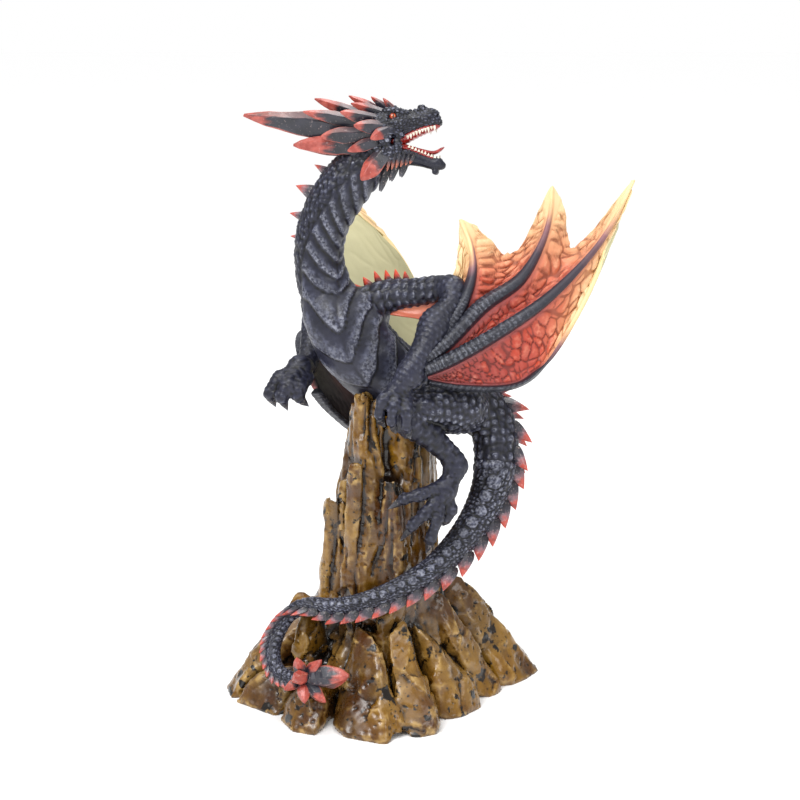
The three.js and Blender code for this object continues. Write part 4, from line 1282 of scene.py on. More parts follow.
class Head:
    """The head with its open jaws, teeth, tongue, eyes, horns and cheek blades."""

    PITCH = 0.4
    BOX = ((-22, -15, -24), (32, 15, 19))
    # Brow, snout, cheek and chin forms, near side: centre, half sizes, blend.
    FORMS = [
        [(1.5, -6.6, 10.2), (4.8, 1.9, 1.5), 1.2], [(6.5, -4.6, 8.8), (3.4, 1.8, 1.7), 1.2],
        [(15.5, -2.6, 11.6), (2.2, 1.5, 1.7), 0.8], [(20.5, -2.6, 9.6), (2.8, 1.9, 2.0), 1.2],
        [(4.6, -6.9, 4.4), (3.6, 1.8, 1.5), 1.2], [(10.5, -5.2, 6.4), (4.4, 1.4, 1.3), 1.0],
        [(1.5, -7.6, 0.6), (3.2, 2.2, 2.2), 1.0], [(5.6, -6.4, -1.2), (2.6, 2.0, 2.2), 1.0],
        [(-1.5, -8.6, -3.8), (3.6, 2.0, 3.2), 1.0], [(4.8, -6.6, -6.4), (2.4, 1.7, 3.4), 1.0],
        [(0.5, -7.6, -8.4), (2.6, 2.0, 2.6), 1.0], [(22.6, -1.6, -18.2), (1.7, 1.8, 1.6), 1.0],
        [(23.6, -1.6, -13.6), (2.4, 2.4, 2.6), 1.4],
    ]
    # Small bumps along the top of the snout, near side.
    BUMPS = [(5.5, -3.0, 10.9), (7.8, -2.6, 10.3), (10.0, -2.2, 10.2), (12.3, -2.0, 10.6), (3.0, -4.2, 11.7)]

    def __init__(self, skin: bpy.types.Material, paints: "Paints") -> None:
        """Keeps the finishes and works out the head's place."""
        self.skin = skin
        self.paints = paints
        turn = Euler((math.radians(HEAD_ROLL), 0, math.radians(HEAD_YAW)), "XYZ").to_matrix()
        self.turn = np.array(turn)

    def place(self, points: Array) -> Array:
        """Points of the head's frame in the figure's frame."""
        return np.atleast_2d(points) @ self.turn.T + np.array(HEAD_PLACE, float)

    @staticmethod
    def loft(rows: Sequence[Sequence[float]]) -> Path:
        """A loft of the head as a path."""
        return Path([[[x, 0, z], [wide, deep], [0, 0, 1]] for x, z, deep, wide in rows])

    def shape(self) -> Field:
        """The skull and jaw with their forms."""
        made = Field(*self.BOX, self.PITCH)
        made.tube(self.loft(SKULL), 0, len(SKULL) - 1, 1.5, 1.2)
        made.tube(self.loft(JAW), 0, len(JAW) - 1, 2.0, 1.2)
        for centre, radii, softness in self.FORMS:
            for sign in (1, -1):
                made.ball((centre[0], centre[1] * sign, centre[2]), radii, softness)
        for x, y, z in self.BUMPS:
            for sign in (1, -1):
                made.ball((x, y * sign, z), (0.95, 0.8, 0.9), 0.4)
        for sign in (1, -1):
            made.ball((2.3, -8.0 * sign, 7.3), (2.5, 1.7, 1.25), 0.4, carve=True, turn=(0, -22, 0))
            made.ball((22.8, -2.2 * sign, 8.4), (0.8, 0.9, 0.55), 0.4, carve=True)
            made.ball((-5.4, -8.2 * sign, -5.6), (2.0, 2.2, 1.5), 0.6, carve=True)
            made.ball((1.9, -7.6 * sign, -4.6), (1.6, 1.2, 0.7), 0.5, carve=True, turn=(0, 25, 0))
        made.ball((15.5, 0, -1.6), (11.0, 3.6, 3.2), 0.8, carve=True, turn=(0, -4, 0))
        return made

    def build(self) -> list[bpy.types.Object]:
        """Makes every piece of the head."""
        made = [self.build_skin(), self.build_mouth(), self.build_tongue()]
        made += [self.build_eyes(), self.build_teeth(), self.build_ribs()]
        horns = HORN_BLADES + [mirrored(row) for row in HORN_BLADES]
        made.append(blades_piece("head_horns", horns, self.place, self.paints.horn))
        throat = THROAT_BLADES + [mirrored(row) for row in THROAT_BLADES]
        made.append(blades_piece("throat_blades", throat, self.place, self.paints.slate))
        return made

    def build_skin(self) -> bpy.types.Object:
        """The pebbled skin of the head."""
        points, faces = self.shape().skin()
        points = smoothed(points, faces, 1)
        normals = normals_of(points, faces)
        x, y, z = points.T
        pebbles = domes(points * np.array([0.8, 1, 1]) / 1.5, 40, 0.85)
        long = domes(points * np.array([0.55, 1, 1.1]) / 1.9, 41, 0.7)
        jaw = ramp(x, 6, 10) * ramp(-9.0 - z, 0, 1.0)
        lips = ramp(np.abs(z - (0.45 * x - 6.5)), 0.2, 1.2)
        cheek = ramp(5.0 - x, 0, 4) * ramp(3.0 - z, 0, 3)
        height = (0.42 * pebbles * (1 - cheek) + 0.55 * long * cheek) * (1 - 0.85 * jaw) * (0.3 + 0.7 * lips)
        height = height + 0.06 * noise(points / 0.7, 42)
        raised = points + normals * (height - 0.2)[:, None]
        bent = normals_of(raised, faces)
        layers = {
            "relief": np.clip(height / 0.5 + 0.3 * jaw, 0, 1),
            "hollow": hollow_of(raised, faces, bent, 14, 0.5),
        }
        return new_piece("head_skin", self.place(raised), faces, self.skin, layers)

    def build_mouth(self) -> bpy.types.Object:
        """The red gums and palate, upper and lower, as one wet skin."""
        made = Field((0, -8, -16), (28, 8, 9), 0.4)
        upper = Path([[[x, 0, z], [wide, deep], [0, 0, 1]] for x, z, wide, deep in (
            (3, -4.2, 5.4, 2.6), (8, -2.4, 5.2, 2.6), (13, 0.2, 4.5, 2.5), (18, 2.2, 3.8, 2.2), (22.4, 3.6, 2.4, 1.6),
        )])
        lower = Path([[[x, 0, z], [wide, deep], [0, 0, 1]] for x, z, wide, deep in (
            (3, -7.0, 5.0, 1.6), (8, -7.4, 4.9, 1.5), (13, -8.8, 4.3, 1.4), (19, -10.9, 3.7, 1.3), (24.2, -12.8, 2.7, 1.2),
        )])
        made.tube(upper, 0, 4, 1.0, 1.0)
        made.tube(lower, 0, 4, 1.0, 1.0)
        points, faces = made.skin()
        ridges = 0.12 * np.sin(points[:, 0] * 3.4) + 0.08 * noise(points / 0.6, 5)
        points = points + normals_of(points, faces) * ridges[:, None]
        layers = {"hollow": hollow_of(points, faces, normals_of(points, faces), 6, 0.3)}
        return new_piece("gums", self.place(points), faces, self.paints.gum, layers)

    def build_tongue(self) -> bpy.types.Object:
        """The tongue, lifted at its tip."""
        path = Path(TONGUE)
        where = path.spaced(0, path.last, 0.5)
        frames = path.at(where)
        sides = 24
        turn = 2 * math.pi * np.arange(sides) / sides
        furrow = 1.0 - 0.35 * np.exp(-((turn / 0.5) ** 2)) - 0.35 * np.exp(-(((turn - 2 * math.pi) / 0.5) ** 2))
        out = frames.back[:, None] * (np.cos(turn) * furrow)[None, :, None] * frames.depth[:, None, None]
        out = out + frames.side[:, None] * np.sin(turn)[None, :, None] * frames.width[:, None, None]
        shrink = np.sqrt(np.clip((path.last - where + 0.03) / 0.35, 0, 1))[:, None, None]
        points = (frames.centre[:, None] + out * shrink).reshape(-1, 3)
        points, faces = capped(points, len(where), sides)
        return new_piece("tongue", self.place(points), triangles(outward(points, faces)), self.paints.gum)

    def build_eyes(self) -> bpy.types.Object:
        """Both eyes, each with a number that falls from 1 at the middle of the pupil."""
        made = bmesh.new()
        gaze_layer = made.verts.layers.float.new("gaze")
        slit_layer = made.verts.layers.float.new("slit")
        for sign in (1, -1):
            centre = np.array([2.3, -6.1 * sign, 7.3])
            gaze = unit(np.array([0.22, -1.0 * sign, 0.05]))
            ball = bmesh.ops.create_icosphere(made, subdivisions=4, radius=1.9)
            for vert in ball["verts"]:
                way = np.array(vert.co) / 1.9
                vert[gaze_layer] = float(way @ gaze)
                vert[slit_layer] = float(abs(way[0] - gaze[0] * (way @ gaze)))
                vert.co = Vector(self.place(centre + way * 1.9)[0] * MM)
        mesh = bpy.data.meshes.new("eyes")
        made.to_mesh(mesh)
        made.free()
        mesh.polygons.foreach_set("use_smooth", np.ones(len(mesh.polygons), bool))
        mesh.materials.append(self.paints.eye)
        eyes = bpy.data.objects.new("eyes", mesh)
        bpy.context.collection.objects.link(eyes)
        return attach(eyes, "root")

    def build_teeth(self) -> bpy.types.Object:
        """Pointed teeth along both jaws."""
        roots = []
        for number, x in enumerate(np.linspace(9.4, 21.8, 10)):
            long = 2.9 if number in (7, 9) else 2.0 + 0.4 * math.sin(number * 2.1)
            lip = float(np.interp(x, [9, 14, 19, 23], [-1.7, 0.9, 2.6, 3.9]))
            wide = float(np.interp(x, [9, 14, 19, 23], [5.2, 4.75, 4.2, 2.6]))
            for sign in (1, -1):
                aim = np.array([0.12, 0.1 * sign, -1.0])
                roots.append(SpikeRoot(np.array([x, -wide * sign, lip]), aim, (1, 0, 0), long, 0.62, 0.5))
        for number, x in enumerate(np.linspace(10.2, 24.0, 10)):
            long = 2.7 if number == 9 else 1.6 + 0.3 * math.sin(number * 1.7)
            lip = float(np.interp(x, [10, 16, 22, 25], [-7.2, -9.6, -11.7, -12.9]))
            wide = float(np.interp(x, [10, 16, 22, 25], [4.9, 4.15, 3.5, 2.4]))
            for sign in (1, -1):
                aim = np.array([0.1, 0.08 * sign, 1.0])
                roots.append(SpikeRoot(np.array([x, -wide * sign, lip]), aim, (1, 0, 0), long, 0.58, 0.48))
        for root in roots:
            tip = self.place(np.asarray(root.root) + np.asarray(root.aim))[0]
            root.root = self.place(root.root)[0]
            root.aim = tip - root.root
            root.lean = self.turn @ np.array([1.0, 0, 0])
        return SpikeRow("teeth", self.paints.tooth, roots, spike_shape(0.15, 0.8, 8, 5), 0.1, 3).build()

    def build_ribs(self) -> bpy.types.Object:
        """The ribs that fan out behind the corner of the mouth."""
        rows = []
        for number in range(6):
            x = 1.2 + 2.15 * number
            top = [x + 1.0, -6.5 + 0.2 * number, -9.2 - 0.25 * number]
            low = [x - 1.3, -5.0 + 0.28 * number, -18.6 + 0.75 * number]
            rows.append([top, low, 1.5, 2.0, 2.6, 0.55])
        return blades_piece("jaw_ribs", rows + [mirrored(row) for row in rows], self.place, self.paints.rib)


# ---------------------------------------------------------------- wings


class Side(Enum):
    """Which wing is which."""

    NEAR = "near"
    FAR = "far"


@dataclass
class Wing:
    """A wing: webs of raised cells between fingers."""

    side: Side
    fingers: list
    billow: tuple[float, float, float]
    finish: bpy.types.Material
    columns: int = 50
    rows: int = 176
    web: float = 1.1
    KNUCKLE: ClassVar[float] = 0.47
    finger_start: float = 2.9
    finger_end: float = 1.1

    def reach(self, panel: Array, share: Array, v: Array, seed: int) -> Array:
        """How far out along its two fingers each point of the webs lies."""
        scallop = np.take(WEB_SCALLOPS, panel) * np.sin(math.pi * share) ** SCALLOP_POWER
        crumbs = noise(np.stack([(panel + share) * 11.0, v * 3, np.zeros_like(v)], axis=1), seed)
        crumbs += 0.6 * noise(np.stack([(panel + share) * 27.0, v * 3, np.zeros_like(v)], axis=1), seed + 1)
        torn = 0.017 * crumbs * ramp(np.sin(math.pi * share), 0.15, 0.5) * ramp(v, 0.9, 1.0) * (panel > 0)
        return WRIST_REACH + (1 - WRIST_REACH) * v * (1 - scallop + torn)

    def surface(self) -> dict[str, Array]:
        """The middle of the sheet, row after row, with its measures."""
        spots = 0.5 - 0.5 * np.cos(math.pi * np.linspace(0, 1, self.columns, endpoint=False))
        spots = 0.55 * spots + 0.45 * np.linspace(0, 1, self.columns, endpoint=False)
        panels = len(self.fingers) - 1
        u = np.append(np.concatenate([k + spots for k in range(panels)]), panels - 1e-9)
        panel = np.tile(np.floor(u).astype(int), self.rows)
        share = np.tile(u - np.floor(u), self.rows)
        v = np.repeat(np.linspace(0, 1, self.rows), len(u))
        reach = self.reach(panel, share, v, 60 if self.side is Side.NEAR else 70)
        low, high = np.zeros((len(v), 3)), np.zeros((len(v), 3))
        for k in range(panels):
            mine = panel == k
            low[mine] = curve(self.fingers[k], reach[mine] * (len(self.fingers[k]) - 1))
            high[mine] = curve(self.fingers[k + 1], reach[mine] * (len(self.fingers[k + 1]) - 1))
        swell = np.sin(math.pi * share) * np.sin(math.pi * np.minimum(reach, 0.9))
        points = low + (high - low) * share[:, None] + np.array(self.billow) * swell[:, None]
        gap = np.linalg.norm(high - low, axis=1)
        return {
            "points": points, "panel": panel, "share": share, "v": v, "reach": reach, "gap": gap,
            "width": np.full(1, len(u)),
        }

    def radii(self, sheet: dict[str, Array]) -> tuple[Array, Array]:
        """The half widths of the two fingers beside each point: the lowest finger thins past its knuckle."""
        radius = self.finger_start + (self.finger_end - self.finger_start) * ramp(sheet["reach"], 0.2, 0.8)
        knuckle = 1 - 0.8 * ramp(sheet["reach"], self.KNUCKLE - 0.05, self.KNUCKLE + 0.03)
        swell = 1 + 0.35 * np.exp(-(((sheet["reach"] - self.KNUCKLE + 0.07) / 0.04) ** 2))
        return np.where(sheet["panel"] == 0, radius * knuckle * swell, radius), radius

    def fingers_at(self, sheet: dict[str, Array]) -> tuple[Array, Array, Array]:
        """The height of the fingers over the webs, where they are from 0 to 1, and their crests from 0 to 1."""
        panels = len(self.fingers) - 1
        low_radius, high_radius = self.radii(sheet)
        last = sheet["panel"] == panels - 1
        low = sheet["share"] * sheet["gap"] / low_radius
        high = (1 - sheet["share"]) * sheet["gap"] * np.where(last, 1.6, 1.0) / high_radius
        lateral = np.minimum(low, high)
        radius = np.where(low < high, low_radius, high_radius)
        keeled = 1 - 0.55 * lateral - 0.45 * lateral**2
        rise = radius * np.clip(keeled, 0, 1) * 1.1
        return np.maximum(rise - 0.3 * self.web, 0), 1 - ramp(lateral, 0.7, 1.1), 1 - ramp(lateral, 0.0, 0.6)

    def cells_at(self, sheet: dict[str, Array], rough_face: bool) -> tuple[Array, Array, Array]:
        """The relief of the webs: height, chance of each cell and clear distance from the fingers."""
        panel, share, reach = sheet["panel"], sheet["share"], sheet["reach"]
        kind = np.minimum(panel, 3)
        across = np.array([4.4, 3.7, 3.9, 3.6])[kind]
        sweep = across * np.log(np.maximum(reach, 0.04)) * np.array([2.9, 3.7, 4.1, 4.1])[kind]
        spread = share * across + 0.4 * noise(sheet["points"] / 8.0, 80)
        sweep = sweep + 0.4 * noise(sheet["points"] / 7.0, 84)
        place = np.stack([sweep, spread + 20.0 * panel, np.full_like(share, 0.5)], axis=1)
        found = cells(place, 81 if self.side is Side.NEAR else 91, 0.98)
        crack = ramp(found.border, 0.02, 0.22)
        tilt = found.offset[:, 0] * (found.chance - 0.5) * 2.0 + found.offset[:, 1] * np.cos(found.chance * 17) * 1.1
        crown = 0.35 - 0.9 * found.near**2
        level = 0.62 + 0.3 * (found.chance - 0.5) + 0.4 * tilt + crown
        crumble = 0.14 * rough(sheet["points"] / 2.0, 2, 82)
        height = crack * np.clip(level + crumble, 0.15, 1.3)
        low_radius, high_radius = self.radii(sheet)
        beside = np.minimum(share * sheet["gap"] - low_radius, (1 - share) * sheet["gap"] - high_radius)
        strip = ramp(beside - 2.6 * ramp(reach, 0.74, 0.9), 0.3, 1.8)
        if not rough_face:
            height = height * 0.15
        return height * strip, found.chance, strip

    def build(self) -> bpy.types.Object:
        """Makes the wing as one closed sheet."""
        sheet = self.surface()
        width = int(sheet["width"][0])
        faces = grid_faces(self.rows, width, False)
        middle = sheet["points"]
        normals = normals_of(middle, faces)
        outer = 1.0 if (normals[:, 1].sum() < 0) == (self.side is Side.NEAR) else -1.0
        rise, ridge, crest = self.fingers_at(sheet)
        sides, layers = [], {key: [] for key in ("relief", "ridge", "reach", "chance", "strip", "inner")}
        rope = 0.16 * np.sin(sheet["reach"] * 330.0 + 4 * noise(sheet["points"] / 6.0, 88))
        rope = rope * (1 - ramp(sheet["reach"], 0.25, 0.55))
        for sign in (outer, -outer):
            is_outer = sign == outer
            height, chance, strip = self.cells_at(sheet, is_outer)
            body = self.web * (1 - 0.35 * ramp(sheet["v"], 0.8, 1.0)) + rise * (1.0 if is_outer else 0.75)
            body = body + 1.5 * height + ridge * rope
            if not is_outer:
                body = body + 0.7 * np.exp(-(((sheet["v"] - 0.93) / 0.012) ** 2))
            sides.append(middle + normals * (sign * body)[:, None])
            layers["relief"].append(np.clip(np.maximum(height, crest * (0.85 + rope)), 0, 1))
            layers["ridge"].append(ridge)
            layers["reach"].append(self.paleness(sheet))
            layers["chance"].append(chance)
            layers["strip"].append(strip)
            layers["inner"].append(np.full(len(middle), 0.0 if is_outer else 1.0))
        points = np.vstack(sides)
        back = faces[:, ::-1] + len(middle)
        rim = self.rim(width)
        faces = outward(points, np.vstack([faces, back, rim]))
        values = {key: np.concatenate(parts) for key, parts in layers.items()}
        values["hollow"] = hollow_of(points, faces, normals_of(points, faces), 8, 0.5)
        return new_piece(self.side.value + "_wing", points, faces, self.finish, values)

    def paleness(self, sheet: dict[str, Array]) -> Array:
        """How far out towards the pale rim each point lies."""
        edge = np.where(sheet["panel"] == 0, (1 - sheet["share"]) ** 0.7 * ramp(sheet["reach"], 0.35, 0.75) * 0.34, 0)
        inward = np.where(sheet["panel"] == 3, 0.16 * ramp(sheet["reach"], 0.35, 0.8), 0)
        return np.clip(sheet["reach"] + edge + inward, 0, 1)

    def rim(self, width: int) -> Array:
        """Faces that close the sheet round its rim."""
        count = self.rows * width
        first = np.arange(width - 1)
        rise = np.arange(self.rows - 1) * width
        low = np.stack([first + 1, first, first + count, first + 1 + count], axis=1)
        top = first + (self.rows - 1) * width
        high = np.stack([top, top + 1, top + 1 + count, top + count], axis=1)
        left = np.stack([rise, rise + width, rise + width + count, rise + count], axis=1)
        right = rise + width - 1
        far = np.stack([right + width, right, right + count, right + width + count], axis=1)
        return np.vstack([low, high, left, far])


@dataclass
class ArmWeb:
    """The smooth web between upper arm, elbow and wrist."""

    name: str
    shoulder: tuple[float, float, float]
    elbow: tuple[float, float, float]
    wrist: tuple[float, float, float]
    billow: tuple[float, float, float]
    finish: bpy.types.Material
    thickness: float = 2.2
    cut: float = 0.42
    steps: int = 40

    def build(self) -> bpy.types.Object:
        """Makes the web as one closed sheet."""
        share, out = np.meshgrid(np.linspace(0, 1, self.steps), np.linspace(0.02, 1, self.steps), indexing="xy")
        share, out = share.ravel(), out.ravel()
        shoulder, elbow, wrist = (np.array(corner, float) for corner in (self.shoulder, self.elbow, self.wrist))
        rim = shoulder + (wrist - shoulder) * share[:, None]
        far = out * (1 - self.cut * np.sin(math.pi * share))
        middle = elbow + (rim - elbow) * far[:, None]
        middle = middle + np.array(self.billow) * (np.sin(math.pi * share) * np.sin(math.pi * far))[:, None]
        faces = grid_faces(self.steps, self.steps, False)
        normals = normals_of(middle, faces)
        half = 0.5 * self.thickness * (1 - 0.6 * ramp(out, 0.85, 1.0))
        folds = 0.25 * np.sin(share * 17.0) * ramp(out, 0.2, 0.7) * (1 - ramp(out, 0.9, 1.0))
        points = np.vstack([middle + normals * (half + folds)[:, None], middle - normals * (half - folds)[:, None]])
        count = len(middle)
        border = Wing(Side.NEAR, [], (0, 0, 0), self.finish, rows=self.steps).rim(self.steps)
        faces = outward(points, np.vstack([faces, faces[:, ::-1] + count, border]))
        return new_piece(self.name, points, faces, self.finish, {"reach": np.tile(out, 2), "share": np.tile(share, 2)})


# ---------------------------------------------------------------- rock


class Rock:
    """The pillar and its skirt of boulders, chipped, cracked and flat underneath."""

    PITCH = 1.08
    BOX = ((-90, -90, -4), (94, 86, 166))
    CREVICE = 3.4

    def __init__(self, finish: bpy.types.Material) -> None:
        """Keeps the finish."""
        self.finish = finish

    @staticmethod
    def column(row: Sequence) -> Array:
        """The corners of a six-sided column with a slanting top."""
        (foot_x, foot_y), foot_radius, (top_x, top_y), top_radius, height, turn = row
        angle = turn + math.pi * np.arange(6) / 3
        cos, sin = np.cos(angle), np.sin(angle)
        low = np.stack([foot_x + foot_radius * cos, foot_y + foot_radius * sin, np.full(6, -3.0)], axis=1)
        high = np.stack([top_x + top_radius * cos, top_y + top_radius * sin, height - 4 * sin - 2 * cos - 3], axis=1)
        return np.vstack([low, high])

    @staticmethod
    def core() -> Array:
        """The corners of the cone under the boulders."""
        foot_radius, top_radius, height, (x, y) = CORE
        angle = 2 * math.pi * np.arange(12) / 12
        cos, sin = np.cos(angle), np.sin(angle)
        low = np.stack([x + foot_radius * cos, y + foot_radius * sin, np.full(12, -3.0)], axis=1)
        high = np.stack([x + top_radius * cos, y + top_radius * sin, np.full(12, float(height))], axis=1)
        return np.vstack([low, high])

    @staticmethod
    def boulder(row: Sequence) -> Array:
        """The corners of a boulder: crest points that fall to toes near the ground."""
        crest, toes = row
        points = [list(point) for point in crest]
        for x, y in toes:
            points.append([x, y, -1.0])
            points.append([x, y, 1.0])
            points.append([x * BASE_INSET, y * BASE_INSET, BASE_TOE])
        middle = crest[-1]
        points.append([middle[0] * 0.3, middle[1] * 0.3, -1.0])
        points.append([middle[0] * 0.5, middle[1] * 0.5, middle[2] * 0.8])
        return np.array(points, float)

    @staticmethod
    def planes(points: Array) -> Array:
        """The planes of the convex solid around points."""
        made = bmesh.new()
        for point in points:
            made.verts.new(point)
        bmesh.ops.convex_hull(made, input=made.verts)
        centre = Vector(points.mean(axis=0))
        rows = []
        for face in made.faces:
            normal = face.normal if face.normal.dot(face.calc_center_median() - centre) > 0 else -face.normal
            rows.append([*normal, normal.dot(face.verts[0].co)])
        made.free()
        return np.array(rows, np.float32)

    def shape(self) -> Field:
        """The lumps joined into one form with crevices between them and a flat underside."""
        made = Field(*self.BOX, self.PITCH)
        columns = [self.column(row) for row in PILLAR_COLUMNS]
        boulders = [self.boulder(row) for row in BOULDERS]
        for points, softness in [(self.core(), 3.0)] + [(row, 1.2) for row in columns + boulders]:
            made.lump(self.planes(points), points.min(axis=0), points.max(axis=0), softness)
        for lumps, depth, width in ((boulders, self.CREVICE, 2.8), (columns, 0.3 * self.CREVICE, 1.3)):
            nearest = np.full(made.values.shape, FAR_AWAY, np.float32)
            second = nearest.copy()
            for points in lumps:
                other = Field(*self.BOX, self.PITCH)
                other.lump(self.planes(points), points.min(axis=0), points.max(axis=0), 0.1)
                second = np.minimum(second, np.maximum(nearest, other.values))
                nearest = np.minimum(nearest, other.values)
            beside = np.exp(-(((second - nearest) / width) ** 2)) * (nearest < 1.5)
            made.values = made.values + (depth * beside).astype(np.float32)
        made.cut_below(0.0)
        return made

    def relief(self, points: Array) -> Array:
        """Flutes of the pillar, worn faces of the boulders, chips and pits, in millimetres."""
        x, y, z = points.T
        pillar = ramp(z, 46, 66)
        warp = np.stack([noise(points / 18.0, 200 + k) for k in range(3)], axis=1) * 3.0
        upright = (points + warp) * np.array([1.0, 1.0, 0.11])
        flutes = cells(upright / 13.0, 210, 1.0)
        faces = flutes.offset[:, 0] * np.cos(flutes.chance * 20) + flutes.offset[:, 1] * np.sin(flutes.chance * 20)
        grooves = (1 - ramp(flutes.border, 0.0, 0.28)) * ramp(noise(points / 11.0, 215), -0.5, 0.3)
        ledges = cells((points + warp) * np.array([1.0, 1.0, 0.4]) / 9.0, 218, 1.0)
        tall = 3.2 * faces - 1.8 * grooves + 0.9 * (ledges.chance - 0.5) * ramp(ledges.border, 0.0, 0.2)
        tall = tall + 0.35 * noise(upright / 2.6, 250)
        turn = np.arctan2(y, x)
        down = np.hypot(x, y)
        grain = noise(np.stack([turn * 14.0, (down + z) / 30.0, np.zeros_like(z)], axis=1), 260)
        stone = cells((points + warp) / 19.0, 220, 1.0)
        facets = stone.offset[:, 0] * np.cos(stone.chance * 20) + stone.offset[:, 2] * np.sin(stone.chance * 20)
        low = 1.6 * facets + 0.9 * noise(points / 9.0, 270) + 0.55 * grain
        fine = 0.3 * rough(points / 3.4, 3, 230)
        pits = -0.8 * ramp(noise(points / 1.9, 240), 0.6, 0.8)
        return tall * pillar + low * (1 - pillar) + fine + pits

    def build(self) -> bpy.types.Object:
        """Makes the rock."""
        points, faces = self.shape().skin()
        points = smoothed(points, faces, 4)
        normals = normals_of(points, faces)
        height = self.relief(points)
        ground = ramp(points[:, 2], 0.6, 2.5)
        raised = points + normals * (height * ground)[:, None]
        raised[:, 2] = np.where(points[:, 2] < 0.8, 0.0, np.maximum(raised[:, 2], 0.0))
        bent = normals_of(raised, faces)
        layers = {
            "relief": np.clip(0.5 + height / 4, 0, 1),
            "hollow": hollow_of(raised, faces, bent, 16, 1.0),
            "deep": hollow_of(raised, faces, bent, 60, 3.2),
        }
        made = new_piece("rock", raised, faces, self.finish, layers)
        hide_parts(ROCK_NODE)
        return made


# ---------------------------------------------------------------- paint


def colour(code: str) -> tuple[float, float, float, float]:
    """A six-digit colour code as a linear colour."""
    parts = [int(code[k : k + 2], 16) / 255 for k in (0, 2, 4)]
    return (*(((c + 0.055) / 1.055) ** 2.4 if c > 0.04 else c / 12.92 for c in parts), 1.0)


def new_group(name: str, inputs: Sequence[tuple[str, str, object]], outputs: Sequence[tuple[str, str]]) -> tuple:
    """An empty shader group.

    Args:
        name: its name.
        inputs: name, kind and default of each input.
        outputs: name and kind of each output.

    Returns:
        The tree, its input node and its output node.
    """
    tree = bpy.data.node_groups.new(name, "ShaderNodeTree")
    for label, kind, value in inputs:
        socket = tree.interface.new_socket(label, in_out="INPUT", socket_type="NodeSocket" + kind)
        if value is not None:
            socket.default_value = value
    for label, kind in outputs:
        tree.interface.new_socket(label, in_out="OUTPUT", socket_type="NodeSocket" + kind)
    return tree, tree.nodes.new("NodeGroupInput"), tree.nodes.new("NodeGroupOutput")


class Wires:
    """Short ways to add and link nodes in one tree."""

    def __init__(self, tree: bpy.types.NodeTree) -> None:
        """Keeps the tree."""
        self.tree = tree

    def put(self, value: object, socket: bpy.types.NodeSocket) -> None:
        """Links an output to a socket, or sets the socket's value."""
        if isinstance(value, bpy.types.NodeSocket):
            self.tree.links.new(value, socket)
        elif value is not None:
            socket.default_value = value

    def maths(self, operation: str, a: object, b: object = None, c: object = None) -> bpy.types.NodeSocket:
        """The result of a Math node."""
        node = self.tree.nodes.new("ShaderNodeMath")
        node.operation = operation
        for value, socket in zip((a, b, c), node.inputs):
            self.put(value, socket)
        return node.outputs[0]

    def span(self, value: object, low: object, high: object, to: tuple[float, float] = (0, 1)) -> bpy.types.NodeSocket:
        """A value carried smoothly from one range to another."""
        node = self.tree.nodes.new("ShaderNodeMapRange")
        node.interpolation_type = "SMOOTHSTEP"
        for key, item in (("Value", value), ("From Min", low), ("From Max", high), ("To Min", to[0]), ("To Max", to[1])):
            self.put(item, node.inputs[key])
        return node.outputs["Result"]

    def mix(self, share: object, a: object, b: object, kind: str = "MIX") -> bpy.types.NodeSocket:
        """Two colours mixed."""
        node = self.tree.nodes.new("ShaderNodeMix")
        node.data_type = "RGBA"
        node.blend_type = kind
        for value, socket in ((share, node.inputs[0]), (a, node.inputs[6]), (b, node.inputs[7])):
            self.put(value, socket)
        return node.outputs[2]

    def speck(self, scale: object, detail: float = 4.0, stretch: Sequence[float] = (1, 1, 1)) -> bpy.types.NodeSocket:
        """Noise over the object's own coordinates."""
        place = self.tree.nodes.new("ShaderNodeTexCoord").outputs["Object"]
        if tuple(stretch) != (1, 1, 1):
            mapping = self.tree.nodes.new("ShaderNodeMapping")
            mapping.inputs["Scale"].default_value = stretch
            self.put(place, mapping.inputs["Vector"])
            place = mapping.outputs["Vector"]
        node = self.tree.nodes.new("ShaderNodeTexNoise")
        self.put(place, node.inputs["Vector"])
        self.put(scale, node.inputs["Scale"])
        node.inputs["Detail"].default_value = detail
        return node.outputs["Fac"]

    def layer(self, name: str) -> bpy.types.NodeSocket:
        """A number kept at the points of the mesh."""
        node = self.tree.nodes.new("ShaderNodeAttribute")
        node.attribute_name = name
        return node.outputs["Fac"]

    def ramp(self, share: object, stops: Sequence[tuple[float, str]]) -> bpy.types.NodeSocket:
        """A colour from a ramp of colour codes."""
        node = self.tree.nodes.new("ShaderNodeValToRGB")
        band = node.color_ramp
        for place, code in stops[1:-1]:
            band.elements.new(place).color = colour(code)
        band.elements[0].position, band.elements[0].color = stops[0][0], colour(stops[0][1])
        band.elements[-1].position, band.elements[-1].color = stops[-1][0], colour(stops[-1][1])
        self.put(share, node.inputs["Fac"])
        return node.outputs["Color"]

    def group(self, tree: bpy.types.NodeTree, **values: object) -> bpy.types.NodeSocket:
        """The first output of a shared group."""
        node = self.tree.nodes.new("ShaderNodeGroup")
        node.node_tree = tree
        for key, value in values.items():
            self.put(value, node.inputs[key.replace("_", " ")])
        return node.outputs[0]


